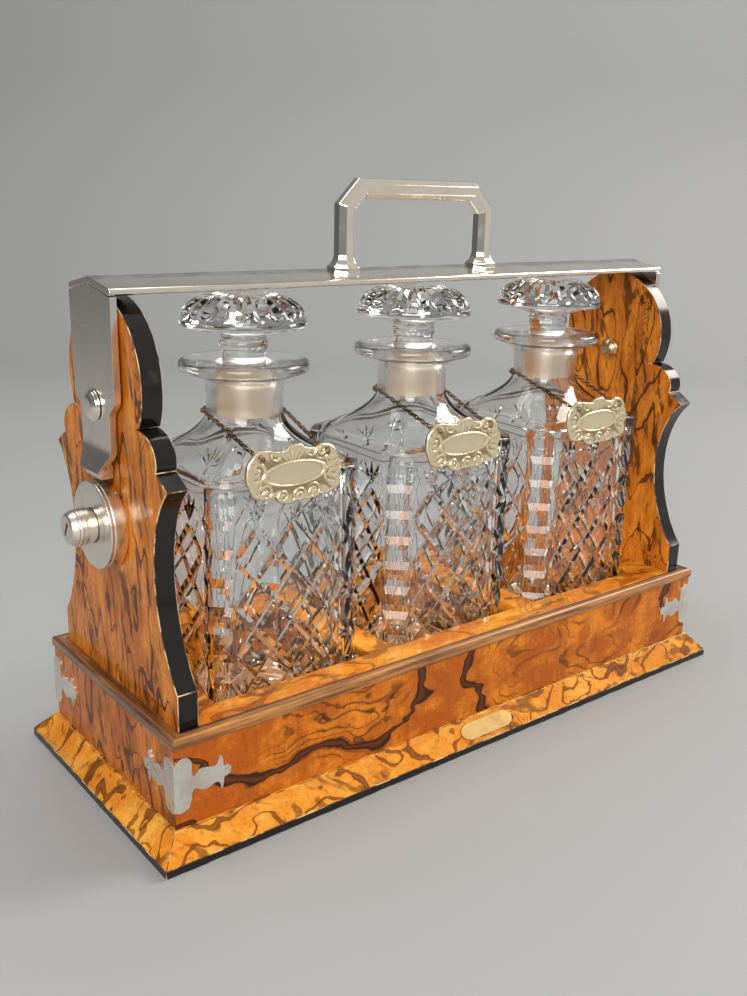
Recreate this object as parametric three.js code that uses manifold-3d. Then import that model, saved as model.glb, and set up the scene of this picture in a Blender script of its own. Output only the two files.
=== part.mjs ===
// A tantalus: three square cut-glass decanters stand in a veneered case, held there by a swinging bail.
// The bail is a bar over the stoppers, hung on two straps, and it locks at the left end of the case.
// Millimetres, +Z up, the table at Z 0, the front towards -Y, the length along X.
import * as THREE from "three";
import { mergeVertices } from "three/addons/utils/BufferGeometryUtils.js";
import Module from "manifold-3d";

const wasm = await Module();
wasm.setup();

// Clearances: between fixed pieces, round turned or slanted pieces and round moving ones.
const jointGap = 0.05;
const fitGap = 0.3;
const runGap = 0.4;

// The overrun of every cut, and the broken edges of turned metal.
const overrun = 1;
const edgeBreak = 0.3;

// The wooden case: outside of its walls, its plinth, its top board and its rim moulding.
const caseDepth = 129;
const wallThickness = 5.6;
const plinthSpread = 10.5;
const plinthLedge = 1.3;
const plinthInset = 2;
const bandHeight = 4;
const plinthTop = 14.3;
const baizeThickness = 1.2;
const wallTop = 52;
const boardThickness = 5;
const rimHeight = 5.8;
const rimStand = 0.8;
const rimRound = 1.9;
const rimStep = 0.5;
const rimQuirkWidth = 0.8;

// The wells that the decanters stand in, the bridges beside them and the pads at their bottom.
const bridgeWidth = 14.6;
const endBridgeWidth = 16;
const wellPlay = 2.5;
const padThickness = 1.95;
const padMargin = 1.5;

// The end panels: half widths, and drops below the middle of the round lobe on top.
const panelThickness = 9.7;
const panelShoulderRise = 16.7;
const panelWaistDrop = 76.5;
const panelWaistHalf = 41.5;
const panelSpikeDrop = 37.5;
const panelSpikeHalf = 56;
const panelStepDrop = 31.5;
const panelStepHalf = 46.2;
const panelPinchDrop = 16.1;
const panelPinchHalf = 31;
const panelLobeRadius = 36.5;
const panelLobeGap = 0.5;

// The decanters, measured upwards from their own foot.
const decanterWidth = 84;
const decanterChamfer = 7.5;
const decanterShoulder = 138.9;
const shoulderRise = 22.5;
const neckLength = 14;
const neckFlareRise = 5.6;
const lipThickness = 5.4;
const neckRadius = 18.3;
const lipRadius = 30.8;
const boreRadius = 13.5;
const glassWall = 6.5;
const glassFloor = 12;
const footRound = 0.9;
const lipRound = 1.625;
const neckFlareShare = 0.35;

// The main cuts in their faces: every second one of two crossing families of V grooves.
// Notches run down the chamfered corners.
const cutCellWidth = 20.6;
const cutCellHeight = 24.4;
const cutCellsAcross = 3;
const cutRowStep = 2;
const cutFoot = 8;
const cutTop = 117.8;
const cutWidth = 3.9;
const cutDepths = [1.3, 1.15];
const cutMargin = 1.4;
const shortestCut = 8;
const notchCount = 9;
const notchPitch = 13.55;
const notchWidth = 8;
const notchDepth = 1.5;
const notchLength = 16;
const cutterStand = 0.5;

// The stoppers, measured from the top of the lip.
const plugDepth = 26;
const plugRadius = 13;
const stemRadius = 10.5;
const collarFoot = 5;
const collarTop = 9;
const collarRadius = 11.3;
const capRimHeight = 16;
const capRadius = 29.7;
const stopperRise = 31.5;
const stopperRound = 1;
const domeShares = [[0.9, 0.38], [0.68, 0.7], [0.38, 0.92]];

// The bail: the gabled top bar, the straps at its ends and the handle on its ridge.
const barPlay = 2;
const barWidth = 41.5;
const barThickness = 3;
const barGable = 3.7;
const strapGap = 1.5;
const strapThickness = 3;
const strapWaistHalf = 20.5;
const strapWaistRise = 5;
const tailHalf = 14.5;
const tailShoulderDrop = 4;
const tailEndDrop = 19.4;
const lipReach = 4.3;
const lipDrop = 8.85;
const lipHalf = 9.2;
const catchHalf = 8;
const catchFootDrop = 31.4;
const catchTopDrop = 25.4;
const catchInset = 0.4;
const catchStand = 2;
const handleSpan = 102;
const handleRise = 42.3;
const handleSection = 9.8;
const handleBevel = 2.9;
const handleCorner = 12;
const handleFootWidth = 16.5;
const handleFootHeight = 7;
const handleFootEdge = 0.8;
const handleFootWaistShare = 0.3;
const screwRadius = 2.3;
const screwHeadRadius = 4;
const screwHeadThickness = 1.7;
const screwReach = 9;

// The pivots of the bail. Its straps are measured upwards and downwards from them.
const pivotDrop = 10.6;
const pivotRadius = 3.6;
const studRadius = 7;
const studStand = 3.2;
const studStep = 0.9;
const washerRadius = 8;
const washerThickness = 1;
const bossRadius = 6.2;
const bossStand = 6;
const bossGrip = 3;
const bossWaistShare = 0.7;

// The lock on the left panel: depths are measured outwards from the panel's face.
const lockDrop = 64;
const drumRadius = 20;
const drumDepth = 8.7;
const drumWall = 1.5;
const drumGroove = 0.8;
const barrelRadius = 7.5;
const barrelRingRadius = 8.3;
const barrelTipRadius = 6.6;
const barrelReach = 20.5;
const barrelStemRadius = 3.5;
const barrelFootDepth = 1;
const barrelRingShares = [0.19, 0.6, 0.76];
const keySlotWidth = 1.6;
const keySlotLength = 7;
const keySlotDepth = 5;
const keySlotTurn = 0.5;
const camRadius = 13.6;
const camArmHalf = 1.2;
const camHubRadius = 5.4;
const camThickness = 2.4;
const boltThickness = 3;
const boltHalf = 3;
const boltFoot = 9.5;
const boltTop = 19.7;
const boltDepth = 2.9;
const boltThrow = 5;
const springThickness = 0.7;
const springFootAngle = 0.84;

// Small mounts, labels and chains.
const mountReach = 27.2;
const mountHalfHeight = 13.4;
const mountZ = 35.9;
const mountThickness = 0.8;
const plateLength = 36;
const plateWidth = 8.6;
const plateThickness = 0.8;
const plateLobeShare = 0.8;
const labelWidth = 52;
const labelHeight = 27.5;
const labelThickness = 1;
const labelRise = 15.5;
const labelGap = 0.4;
const eyeSpan = 35;
const eyeDrop = 5;
const eyeRadius = 1.7;
const chainRadius = 0.7;
const chainLift = 0.5;
const chainTuck = 4;

// Places worked out from the sizes above, along the case from its middle well to its ends.
const wellHalf = (decanterWidth + wellPlay * 2) / 2;
const decanterPitch = wellHalf * 2 + bridgeWidth;
const panelInnerX = decanterPitch + wellHalf + endBridgeWidth + jointGap;
const innerHalfLength = panelInnerX + panelThickness;
const caseHalfLength = innerHalfLength + wallThickness + jointGap;
const caseHalfDepth = caseDepth / 2;
const innerHalfDepth = caseHalfDepth - wallThickness - jointGap;
const boardTop = wallTop + boardThickness;
const padTop = plinthTop + jointGap + padThickness;
const decanterFootZ = padTop + fitGap;
const decanterNeckFoot = decanterShoulder + shoulderRise;
const decanterNeckTop = decanterNeckFoot + neckLength;
const decanterLipFoot = decanterNeckTop + neckFlareRise;
const decanterHeight = decanterLipFoot + lipThickness;
const lipTopZ = decanterFootZ + decanterHeight;
const barHalf = barWidth / 2;
const strapInnerX = innerHalfLength + strapGap;
const strapOuterX = strapInnerX + strapThickness;
const barEdgeZ = lipTopZ + stopperRise + barPlay;
const barRidgeZ = barEdgeZ + barGable + barThickness;
const panelLobeZ = barEdgeZ - panelLobeGap - panelLobeRadius;
const pivotZ = panelLobeZ - pivotDrop;
const lockZ = panelLobeZ - lockDrop;
const tailEndZ = pivotZ - tailEndDrop;
const barrelTipX = innerHalfLength + barrelReach;
const centreShift = (barrelTipX - caseHalfLength - plinthSpread) / 2;
const decanterPlaces = [-decanterPitch, 0, decanterPitch];

// Materials, one maker for each piece so that every piece has its own.
const looks = {
  veneer: [0xa8632c, 0.3, 0],
  board: [0xc08a4a, 0.4, 0],
  moulding: [0xb98a52, 0.4, 0],
  ebony: [0x17130f, 0.3, 0],
  baize: [0x2f5a3a, 0.95, 0],
  lining: [0x9a5a2a, 0.9, 0],
  silver: [0xcfcabf, 0.25, 1],
  brass: [0xb08a48, 0.3, 1],
  gilt: [0xc9a85e, 0.35, 1],
  steel: [0x8e8e8c, 0.4, 1],
  chain: [0x6d5836, 0.45, 1],
  crystal: [0xe6ece8, 0.05, 0],
};

function materialOf(look) {
  const [color, roughness, metalness] = looks[look];
  const material = new THREE.MeshStandardMaterial({ color, roughness, metalness });
  if (look === "crystal") {
    material.transparent = true;
    material.opacity = 0.5;
  }
  return material;
}

const tantalus = new THREE.Group();
tantalus.name = "tantalus";
tantalus.position.x = centreShift;

function addPiece(name, geometry, look, x = 0, y = 0, z = 0) {
  const mesh = new THREE.Mesh(geometry, materialOf(look));
  mesh.name = name;
  mesh.position.set(x, y, z);
  tantalus.add(mesh);
  return mesh;
}

// Solids for joining and cutting.
function solidOf(geometry) {
  const plain = geometry.clone();
  plain.deleteAttribute("normal");
  plain.deleteAttribute("uv");
  const merged = mergeVertices(plain);
  const index = merged.index.array;
  const faces = [];
  for (let i = 0; i < index.length; i += 3) {
    const [a, b, c] = [index[i], index[i + 1], index[i + 2]];
    if (a !== b && b !== c && c !== a) {
      faces.push(a, b, c);
    }
  }
  const vertProperties = new Float32Array(merged.attributes.position.array);
  const triVerts = new Uint32Array(faces);
  return new wasm.Manifold(new wasm.Mesh({ numProp: 3, vertProperties, triVerts }));
}

function geometryOf(solid) {
  const mesh = solid.getMesh();
  const geometry = new THREE.BufferGeometry();
  geometry.setAttribute("position", new THREE.BufferAttribute(mesh.vertProperties, mesh.numProp));
  geometry.setIndex(new THREE.BufferAttribute(mesh.triVerts, 1));
  geometry.computeVertexNormals();
  return geometry;
}

function joined(...geometries) {
  const [first, ...others] = geometries.map(solidOf);
  return geometryOf(others.reduce((solid, other) => solid.add(other), first));
}

function cutBy(geometry, ...tools) {
  return geometryOf(tools.reduce((solid, tool) => solid.subtract(solidOf(tool)), solidOf(geometry)));
}

// Shapes swept straight: a box between two corners, and outlines drawn across X, Y or Z.
function block(x0, x1, y0, y1, z0, z1) {
  const geometry = new THREE.BoxGeometry(x1 - x0, y1 - y0, z1 - z0);
  return geometry.translate((x0 + x1) / 2, (y0 + y1) / 2, (z0 + z1) / 2);
}

const acrossX = new THREE.Matrix4().makeBasis(
  new THREE.Vector3(0, 1, 0),
  new THREE.Vector3(0, 0, 1),
  new THREE.Vector3(1, 0, 0),
);
const acrossY = new THREE.Matrix4().makeBasis(
  new THREE.Vector3(1, 0, 0),
  new THREE.Vector3(0, 0, 1),
  new THREE.Vector3(0, -1, 0),
);

function sweptAlongX(shape, x0, x1, curveSegments) {
  const geometry = new THREE.ExtrudeGeometry(shape, { depth: x1 - x0, bevelEnabled: false, curveSegments });
  return geometry.applyMatrix4(acrossX).translate(x0, 0, 0);
}

function sweptAlongY(shape, y0, y1, curveSegments) {
  const geometry = new THREE.ExtrudeGeometry(shape, { depth: y1 - y0, bevelEnabled: false, curveSegments });
  return geometry.applyMatrix4(acrossY).translate(0, y1, 0);
}

// A turned piece: its profile is a list of [radius, height] pairs.
function turned(profile, segments) {
  const points = profile.map(([radius, height]) => new THREE.Vector2(radius, height));
  return new THREE.LatheGeometry(points, segments);
}

// The same, standing on the Z axis, or lying outwards from the left (-1) or right (1) end.
function turnedUp(profile, segments) {
  return turned(profile, segments).rotateX(Math.PI / 2);
}

function turnedOut(profile, segments, side) {
  return turned(profile, segments).rotateZ(-side * Math.PI / 2);
}

// A whole outline from its right half, which runs from the bottom to the top.
function mirroredShape(half, divisions) {
  const right = half.getPoints(divisions);
  const left = right.filter((point) => point.x > jointGap).reverse();
  return new THREE.Shape([...right, ...left.map((point) => new THREE.Vector2(-point.x, point.y))]);
}

function roundHole(x, y, radius) {
  const hole = new THREE.Path();
  hole.absarc(x, y, radius, 0, Math.PI * 2, true);
  return hole;
}

// The four sides of the case, each with its turn about Z, its place and the half length of its wall.
const caseSides = [
  { name: "front", turn: 0, x: 0, y: -caseHalfDepth, halfLength: caseHalfLength },
  { name: "right", turn: Math.PI / 2, x: caseHalfLength, y: 0, halfLength: caseHalfDepth },
  { name: "back", turn: Math.PI, x: 0, y: caseHalfDepth, halfLength: caseHalfLength },
  { name: "left", turn: -Math.PI / 2, x: -caseHalfLength, y: 0, halfLength: caseHalfDepth },
];

// A mitred length of moulding: its profile is drawn as distance out of the wall's face, and height.
function mitredLength(profile, halfLength) {
  const geometry = new THREE.ExtrudeGeometry(profile, { depth: 1, bevelEnabled: false, curveSegments: 5 });
  const place = geometry.attributes.position;
  for (let i = 0; i < place.count; i += 1) {
    const out = place.getX(i);
    const along = (halfLength + out - jointGap) * (place.getZ(i) > 0 ? -1 : 1);
    place.setXYZ(i, along, -out, place.getY(i));
  }
  return geometry;
}

function addMitredFrame(prefix, profile, look) {
  for (const side of caseSides) {
    const length = mitredLength(profile, side.halfLength);
    const mesh = addPiece(`${prefix}_${side.name}`, length, look, side.x, side.y);
    mesh.rotation.z = side.turn;
  }
}

// The base: baize underneath, a board inside the plinth, and the black band that the plinth stands on.
function rectangle(halfX, halfY) {
  const corners = [[-halfX, -halfY], [halfX, -halfY], [halfX, halfY], [-halfX, halfY]];
  return corners.map(([x, y]) => new THREE.Vector2(x, y));
}

function addBase() {
  const baseHalfX = caseHalfLength - plinthInset - jointGap;
  const baseHalfY = caseHalfDepth - plinthInset - jointGap;
  addPiece("base_baize", block(-baseHalfX, baseHalfX, -baseHalfY, baseHalfY, 0, baizeThickness), "baize");
  const boardZ = baizeThickness + jointGap;
  addPiece("base_board", block(-baseHalfX, baseHalfX, -baseHalfY, baseHalfY, boardZ, plinthTop), "board");
  const band = new THREE.Shape(rectangle(caseHalfLength + plinthSpread, caseHalfDepth + plinthSpread));
  const hollow = rectangle(caseHalfLength - plinthInset, caseHalfDepth - plinthInset);
  band.holes.push(new THREE.Path(hollow.reverse()));
  const bandSweep = { depth: bandHeight, bevelEnabled: false };
  addPiece("ebonised_band", new THREE.ExtrudeGeometry(band, bandSweep), "ebony");
}

// The plinth slopes up from the band to a narrow ledge at the foot of the walls.
function plinthProfile() {
  const profile = new THREE.Shape();
  profile.moveTo(-plinthInset, bandHeight + jointGap);
  profile.lineTo(plinthSpread, bandHeight + jointGap);
  profile.lineTo(plinthLedge, plinthTop);
  profile.lineTo(-plinthInset, plinthTop);
  return profile;
}

function wallProfile() {
  const profile = new THREE.Shape();
  profile.moveTo(-wallThickness, plinthTop + jointGap);
  profile.lineTo(0, plinthTop + jointGap);
  profile.lineTo(0, wallTop);
  profile.lineTo(-wallThickness, wallTop);
  return profile;
}

// The rim moulding stands a little out of the wall, rounded outside, with a step and a quirk on top.
function rimProfile() {
  const foot = wallTop + jointGap;
  const top = foot + rimHeight;
  const roundInner = rimStand - rimRound;
  const profile = new THREE.Shape();
  profile.moveTo(-wallThickness, foot);
  profile.lineTo(0, foot);
  profile.lineTo(rimStand, foot + rimStand);
  profile.lineTo(rimStand, top - rimRound);
  profile.absarc(roundInner, top - rimRound, rimRound, 0, Math.PI / 2, false);
  profile.lineTo(roundInner - rimStep, top - rimStep);
  profile.lineTo(roundInner - rimStep - rimQuirkWidth, top - rimStep);
  profile.lineTo(-wallThickness, top - rimStep - rimStep);
  return profile;
}

// The top board is two rails and four bridges round the three wells, and each well has a pad.
function addTopBoard() {
  const railHalfX = panelInnerX - jointGap;
  const frontRail = block(-railHalfX, railHalfX, -innerHalfDepth, -wellHalf, wallTop, boardTop);
  const backRail = block(-railHalfX, railHalfX, wellHalf, innerHalfDepth, wallTop, boardTop);
  addPiece("top_rail_front", frontRail, "board");
  addPiece("top_rail_back", backRail, "board");
  const bridgeEdges = [-railHalfX];
  for (const place of decanterPlaces) {
    bridgeEdges.push(place - wellHalf, place + wellHalf);
  }
  bridgeEdges.push(railHalfX);
  const halfY = wellHalf - jointGap;
  for (let i = 0; i < decanterPlaces.length + 1; i += 1) {
    const [x0, x1] = bridgeEdges.slice(i * 2, i * 2 + 2);
    addPiece(`bridge_${i + 1}`, block(x0, x1, -halfY, halfY, wallTop, boardTop), "board");
  }
  const padHalf = decanterWidth / 2 + padMargin;
  decanterPlaces.forEach((x, i) => {
    const pad = block(-padHalf, padHalf, -padHalf, padHalf, plinthTop + jointGap, padTop);
    addPiece(`well_pad_${i + 1}`, pad, "lining", x);
  });
}

// An end panel: a vase outline with a spike on each side and a round lobe on top, pierced for the pivot.
const panelSweepShares = { leave: 0.5, leaveRise: 0.2, reachRise: 0.4 };
const panelSpikeShares = { rise: 0.44, spread: 0.38, spreadRise: 0.8 };
const panelLobeSwell = 3;
const panelLobeLift = 6;
const panelLobeStart = -0.44;

function panelShape() {
  const panelShoulderZ = boardTop + panelShoulderRise;
  const panelWaistZ = panelLobeZ - panelWaistDrop;
  const panelSpikeZ = panelLobeZ - panelSpikeDrop;
  const panelStepZ = panelLobeZ - panelStepDrop;
  const panelPinchZ = panelLobeZ - panelPinchDrop;
  const sweepDrop = panelWaistZ - panelShoulderZ;
  const sweepIn = innerHalfDepth - panelWaistHalf;
  const spikeRise = panelSpikeZ - panelWaistZ;
  const spikeOut = panelSpikeHalf - panelWaistHalf;
  const half = new THREE.Path();
  half.moveTo(innerHalfDepth, plinthTop + jointGap);
  half.lineTo(innerHalfDepth, panelShoulderZ);
  half.bezierCurveTo(
    innerHalfDepth - sweepIn * panelSweepShares.leave,
    panelShoulderZ + sweepDrop * panelSweepShares.leaveRise,
    panelWaistHalf,
    panelWaistZ - sweepDrop * panelSweepShares.reachRise,
    panelWaistHalf,
    panelWaistZ,
  );
  half.bezierCurveTo(
    panelWaistHalf,
    panelWaistZ + spikeRise * panelSpikeShares.rise,
    panelWaistHalf + spikeOut * panelSpikeShares.spread,
    panelWaistZ + spikeRise * panelSpikeShares.spreadRise,
    panelSpikeHalf,
    panelSpikeZ,
  );
  half.lineTo(panelStepHalf, panelStepZ);
  half.bezierCurveTo(
    panelStepHalf + panelLobeSwell,
    panelStepZ + panelLobeLift,
    panelStepHalf - panelLobeSwell,
    panelPinchZ,
    panelPinchHalf,
    panelPinchZ,
  );
  half.absarc(0, panelLobeZ, panelLobeRadius, panelLobeStart, Math.PI / 2, false);
  return mirroredShape(half, 8);
}

function addPanels() {
  const shape = panelShape();
  shape.holes.push(roundHole(0, pivotZ, pivotRadius + fitGap));
  addPiece("panel_left", sweptAlongX(shape, -innerHalfLength, -panelInnerX, 6), "veneer");
  addPiece("panel_right", sweptAlongX(shape, panelInnerX, innerHalfLength, 6), "veneer");
}

// The pivots: a ring-turned stud outside each strap, a washer behind it and a boss on the panel's inner face.
function studProfile() {
  const strapFace = strapOuterX - innerHalfLength + fitGap;
  const shaftFoot = -panelThickness - bossGrip;
  const ring = studStand / 4;
  return [
    [0, shaftFoot],
    [pivotRadius, shaftFoot],
    [pivotRadius, strapFace],
    [studRadius, strapFace],
    [studRadius, strapFace + ring],
    [studRadius - studStep, strapFace + ring + edgeBreak],
    [studRadius - studStep, strapFace + ring * 2],
    [studRadius - studStep * 2, strapFace + ring * 3],
    [studRadius / 2, strapFace + studStand - edgeBreak],
    [0, strapFace + studStand],
  ];
}

function bossProfile() {
  const face = -panelThickness - jointGap;
  const boreEnd = -panelThickness - bossGrip - fitGap;
  const tip = face - bossStand;
  return [
    [0, tip],
    [bossRadius / 2, tip],
    [bossRadius * bossWaistShare, tip + bossStand / 3],
    [bossRadius, tip + bossStand / 2],
    [bossRadius, face],
    [pivotRadius + fitGap, face],
    [pivotRadius + fitGap, boreEnd],
    [0, boreEnd],
  ];
}

function washerProfile() {
  const foot = jointGap;
  return [
    [pivotRadius + fitGap, foot],
    [washerRadius, foot],
    [washerRadius, foot + washerThickness],
    [pivotRadius + fitGap, foot + washerThickness],
    [pivotRadius + fitGap, foot],
  ];
}

function addPivots() {
  for (const [name, side] of [["left", -1], ["right", 1]]) {
    const x = innerHalfLength * side;
    addPiece(`pivot_stud_${name}`, turnedOut(studProfile(), 20, side), "silver", x, 0, pivotZ);
    addPiece(`pivot_washer_${name}`, turnedOut(washerProfile(), 20, side), "steel", x, 0, pivotZ);
    addPiece(`pivot_boss_${name}`, turnedOut(bossProfile(), 20, side), "brass", x, 0, pivotZ);
  }
}

// The bar: a gabled plate with round long edges. The straps reach up to its underside.
function barShape() {
  const edgeRadius = barThickness / 2;
  const edgeMid = barEdgeZ + edgeRadius;
  const shape = new THREE.Shape();
  shape.moveTo(0, barEdgeZ + barGable);
  shape.lineTo(-barHalf + edgeRadius, barEdgeZ);
  shape.absarc(-barHalf + edgeRadius, edgeMid, edgeRadius, -Math.PI / 2, Math.PI / 2, true);
  shape.lineTo(0, barRidgeZ);
  shape.lineTo(barHalf - edgeRadius, barEdgeZ + barThickness);
  shape.absarc(barHalf - edgeRadius, edgeMid, edgeRadius, Math.PI / 2, -Math.PI / 2, true);
  return shape;
}

const screwPlaces = [-(handleSpan - handleSection) / 2, (handleSpan - handleSection) / 2];

function upright(radius, x, z0, z1) {
  const geometry = new THREE.CylinderGeometry(radius, radius, z1 - z0, 16);
  return geometry.rotateX(Math.PI / 2).translate(x, 0, (z0 + z1) / 2);
}

function addTopBar() {
  const bar = sweptAlongX(barShape(), -strapOuterX, strapOuterX, 6);
  const holes = screwPlaces.map((x) => upright(screwRadius + fitGap, x, barEdgeZ, barRidgeZ + overrun));
  addPiece("top_bar", cutBy(bar, ...holes), "silver");
}

// A strap tapers to a shouldered tail. The left tail turns out into a narrowing lip, with the lock's catch
// behind it.
function strapShape() {
  const half = new THREE.Path();
  const tailShoulderZ = pivotZ - tailShoulderDrop;
  const strapWaistZ = pivotZ + strapWaistRise;
  const shoulderMid = (tailShoulderZ + strapWaistZ) / 2;
  half.moveTo(tailHalf, tailEndZ);
  half.lineTo(tailHalf, tailShoulderZ);
  half.bezierCurveTo(tailHalf, shoulderMid, strapWaistHalf, shoulderMid, strapWaistHalf, strapWaistZ);
  half.lineTo(barHalf, barEdgeZ - fitGap);
  half.lineTo(barHalf - barThickness / 2, barEdgeZ - fitGap);
  half.lineTo(0, barEdgeZ + barGable - fitGap);
  const shape = mirroredShape(half, 6);
  shape.holes.push(roundHole(0, pivotZ, pivotRadius + runGap));
  return shape;
}

function lipShape() {
  const lean = Math.atan2(lipReach, lipDrop);
  const bendDrop = strapThickness * Math.tan(lean / 2);
  const lipX = -strapOuterX - lipReach;
  const lipZ = tailEndZ - lipDrop;
  const shape = new THREE.Shape();
  shape.moveTo(-strapInnerX, tailEndZ + overrun);
  shape.lineTo(-strapOuterX, tailEndZ + overrun);
  shape.lineTo(-strapOuterX, tailEndZ);
  shape.lineTo(lipX, lipZ);
  shape.lineTo(lipX + strapThickness * Math.cos(lean), lipZ - strapThickness * Math.sin(lean));
  shape.lineTo(-strapInnerX, tailEndZ - bendDrop);
  return shape;
}

// What narrows the lip on its back side; the same is mirrored for its front side.
function lipCut(side) {
  const drop = lipDrop * 2;
  const shape = new THREE.Shape();
  shape.moveTo(side * tailHalf, tailEndZ);
  shape.lineTo(side * (tailHalf + overrun), tailEndZ);
  shape.lineTo(side * (tailHalf + overrun), tailEndZ - drop);
  shape.lineTo(side * (tailHalf - (tailHalf - lipHalf) * drop / lipDrop), tailEndZ - drop);
  return sweptAlongX(shape, -strapOuterX - lipReach - overrun, -strapInnerX + overrun);
}

const boltOuter = boltDepth + boltThickness;
const boltX0 = -innerHalfLength - boltOuter;
const boltX1 = -innerHalfLength - boltDepth;

function addStraps() {
  const wholeLip = sweptAlongY(lipShape(), -tailHalf, tailHalf);
  const lip = cutBy(wholeLip, lipCut(-1), lipCut(1));
  const catchFootZ = pivotZ - catchFootDrop;
  const catchTopZ = pivotZ - catchTopDrop;
  const catchX0 = -strapOuterX - catchStand;
  const catchX1 = -strapInnerX + catchInset;
  const catchBlock = block(catchX0, catchX1, -catchHalf, catchHalf, catchFootZ, catchTopZ);
  const slotHalf = boltHalf + runGap;
  const slotTop = catchFootZ + boltThrow;
  const slotFoot = catchFootZ - overrun;
  const slot = block(boltX0 - runGap, boltX1 + runGap, -slotHalf, slotHalf, slotFoot, slotTop);
  const strap = sweptAlongX(strapShape(), -strapOuterX, -strapInnerX, 16);
  addPiece("strap_left", cutBy(joined(strap, lip, catchBlock), slot), "silver");
  addPiece("strap_right", sweptAlongX(strapShape(), strapInnerX, strapOuterX, 16), "silver");
}

// The handle: one square bend of octagonal rod on two flared feet that sit astride the ridge.
function handleShape() {
  const outerX = handleSpan / 2;
  const innerX = outerX - handleSection;
  const innerTop = handleRise - handleSection;
  const innerCorner = handleCorner - handleSection * (2 - Math.SQRT2);
  const shape = new THREE.Shape();
  shape.moveTo(outerX, -barGable);
  shape.lineTo(outerX, handleRise - handleCorner);
  shape.lineTo(outerX - handleCorner, handleRise);
  shape.lineTo(-outerX + handleCorner, handleRise);
  shape.lineTo(-outerX, handleRise - handleCorner);
  shape.lineTo(-outerX, -barGable);
  shape.lineTo(-innerX, -barGable);
  shape.lineTo(-innerX, innerTop - innerCorner);
  shape.lineTo(-innerX + innerCorner, innerTop);
  shape.lineTo(innerX - innerCorner, innerTop);
  shape.lineTo(innerX, innerTop - innerCorner);
  shape.lineTo(innerX, -barGable);
  return shape;
}

function handleFoot(x) {
  const toCorner = 1 / Math.cos(Math.PI / 8);
  const wide = handleFootWidth / 2 * toCorner;
  const narrow = handleSection / 2 * toCorner - fitGap;
  const waist = narrow + (wide - narrow) * handleFootWaistShare;
  const profile = [
    [0, -barGable],
    [wide, -barGable],
    [wide, handleFootEdge],
    [waist, handleFootHeight / 2],
    [narrow, handleFootHeight],
    [0, handleFootHeight],
  ];
  return turned(profile, 8).rotateY(Math.PI / 8).rotateX(Math.PI / 2).translate(x, 0, 0);
}

// What the gable of the bar takes out of the feet, measured from its ridge.
function ridgeShape() {
  const eaves = fitGap - barGable;
  const shape = new THREE.Shape();
  shape.moveTo(0, fitGap);
  shape.lineTo(-barHalf, eaves);
  shape.lineTo(-barHalf, -barGable - overrun);
  shape.lineTo(barHalf, -barGable - overrun);
  shape.lineTo(barHalf, eaves);
  return shape;
}

function addHandle() {
  const sweep = {
    depth: handleSection - handleBevel * 2,
    bevelThickness: handleBevel,
    bevelSize: handleBevel,
    bevelOffset: -handleBevel,
    bevelSegments: 1,
  };
  const rod = new THREE.ExtrudeGeometry(handleShape(), sweep);
  rod.applyMatrix4(acrossY).translate(0, handleSection / 2 - handleBevel, 0);
  const ridge = sweptAlongX(ridgeShape(), -handleSpan, handleSpan);
  const holeRadius = screwRadius + fitGap;
  const holes = screwPlaces.map((x) => upright(holeRadius, x, -barGable - overrun, screwReach + fitGap));
  const feet = screwPlaces.map(handleFoot);
  addPiece("handle", cutBy(joined(rod, ...feet), ridge, ...holes), "silver", 0, 0, barRidgeZ);
}

// A screw comes up through the bar into each foot, its head in the hollow of the gable.
function addHandleScrews() {
  const headTop = -barThickness - barGable * screwHeadRadius / barHalf - fitGap;
  const profile = [
    [0, headTop - screwHeadThickness],
    [screwHeadRadius, headTop - screwHeadThickness],
    [screwHeadRadius, headTop],
    [screwRadius, headTop],
    [screwRadius, screwReach],
    [0, screwReach],
  ];
  screwPlaces.forEach((x, i) => {
    addPiece(`handle_screw_${i + 1}`, turnedUp(profile, 16), "brass", x, 0, barRidgeZ);
  });
}

// The lock's drum is a cup, open towards the panel, with a hole for the barrel and a slot for the bolt.
function drumProfile() {
  const grooveDepth = drumDepth - drumWall;
  return [
    [drumRadius - drumWall, jointGap],
    [drumRadius, jointGap],
    [drumRadius, grooveDepth - drumGroove],
    [drumRadius - drumGroove / 2, grooveDepth - drumGroove / 2],
    [drumRadius, grooveDepth],
    [drumRadius, drumDepth - edgeBreak],
    [drumRadius - edgeBreak, drumDepth],
    [barrelRadius + fitGap, drumDepth],
    [barrelRadius + fitGap, drumDepth - drumWall],
    [drumRadius - drumWall, drumDepth - drumWall],
    [drumRadius - drumWall, jointGap],
  ];
}

function barrelProfile() {
  const shoulder = drumDepth - drumWall;
  const outside = barrelReach - drumDepth;
  const [ringFoot, ringTop, coneFoot] = barrelRingShares.map((share) => drumDepth + outside * share);
  return [
    [0, barrelFootDepth],
    [barrelStemRadius, barrelFootDepth],
    [barrelStemRadius, shoulder],
    [barrelRadius, shoulder],
    [barrelRadius, ringFoot],
    [barrelRingRadius, ringFoot],
    [barrelRingRadius, ringTop - edgeBreak],
    [barrelRingRadius - edgeBreak * 2, ringTop],
    [barrelRingRadius, ringTop + edgeBreak],
    [barrelRingRadius - edgeBreak, coneFoot],
    [barrelTipRadius, barrelReach - edgeBreak],
    [barrelTipRadius - edgeBreak, barrelReach],
    [0, barrelReach],
  ];
}

// The cam's arm lies towards the back at rest, and a quarter turn brings it up under the thrown bolt.
function camShape() {
  const shape = new THREE.Shape();
  const rootAngle = Math.asin(camArmHalf / camHubRadius);
  const tipAngle = Math.asin(camArmHalf / camRadius);
  shape.absarc(0, 0, camHubRadius, rootAngle, Math.PI * 2 - rootAngle, false);
  shape.absarc(0, 0, camRadius, -tipAngle, tipAngle, false);
  shape.holes.push(roundHole(0, 0, barrelStemRadius + fitGap));
  return shape;
}

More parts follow.
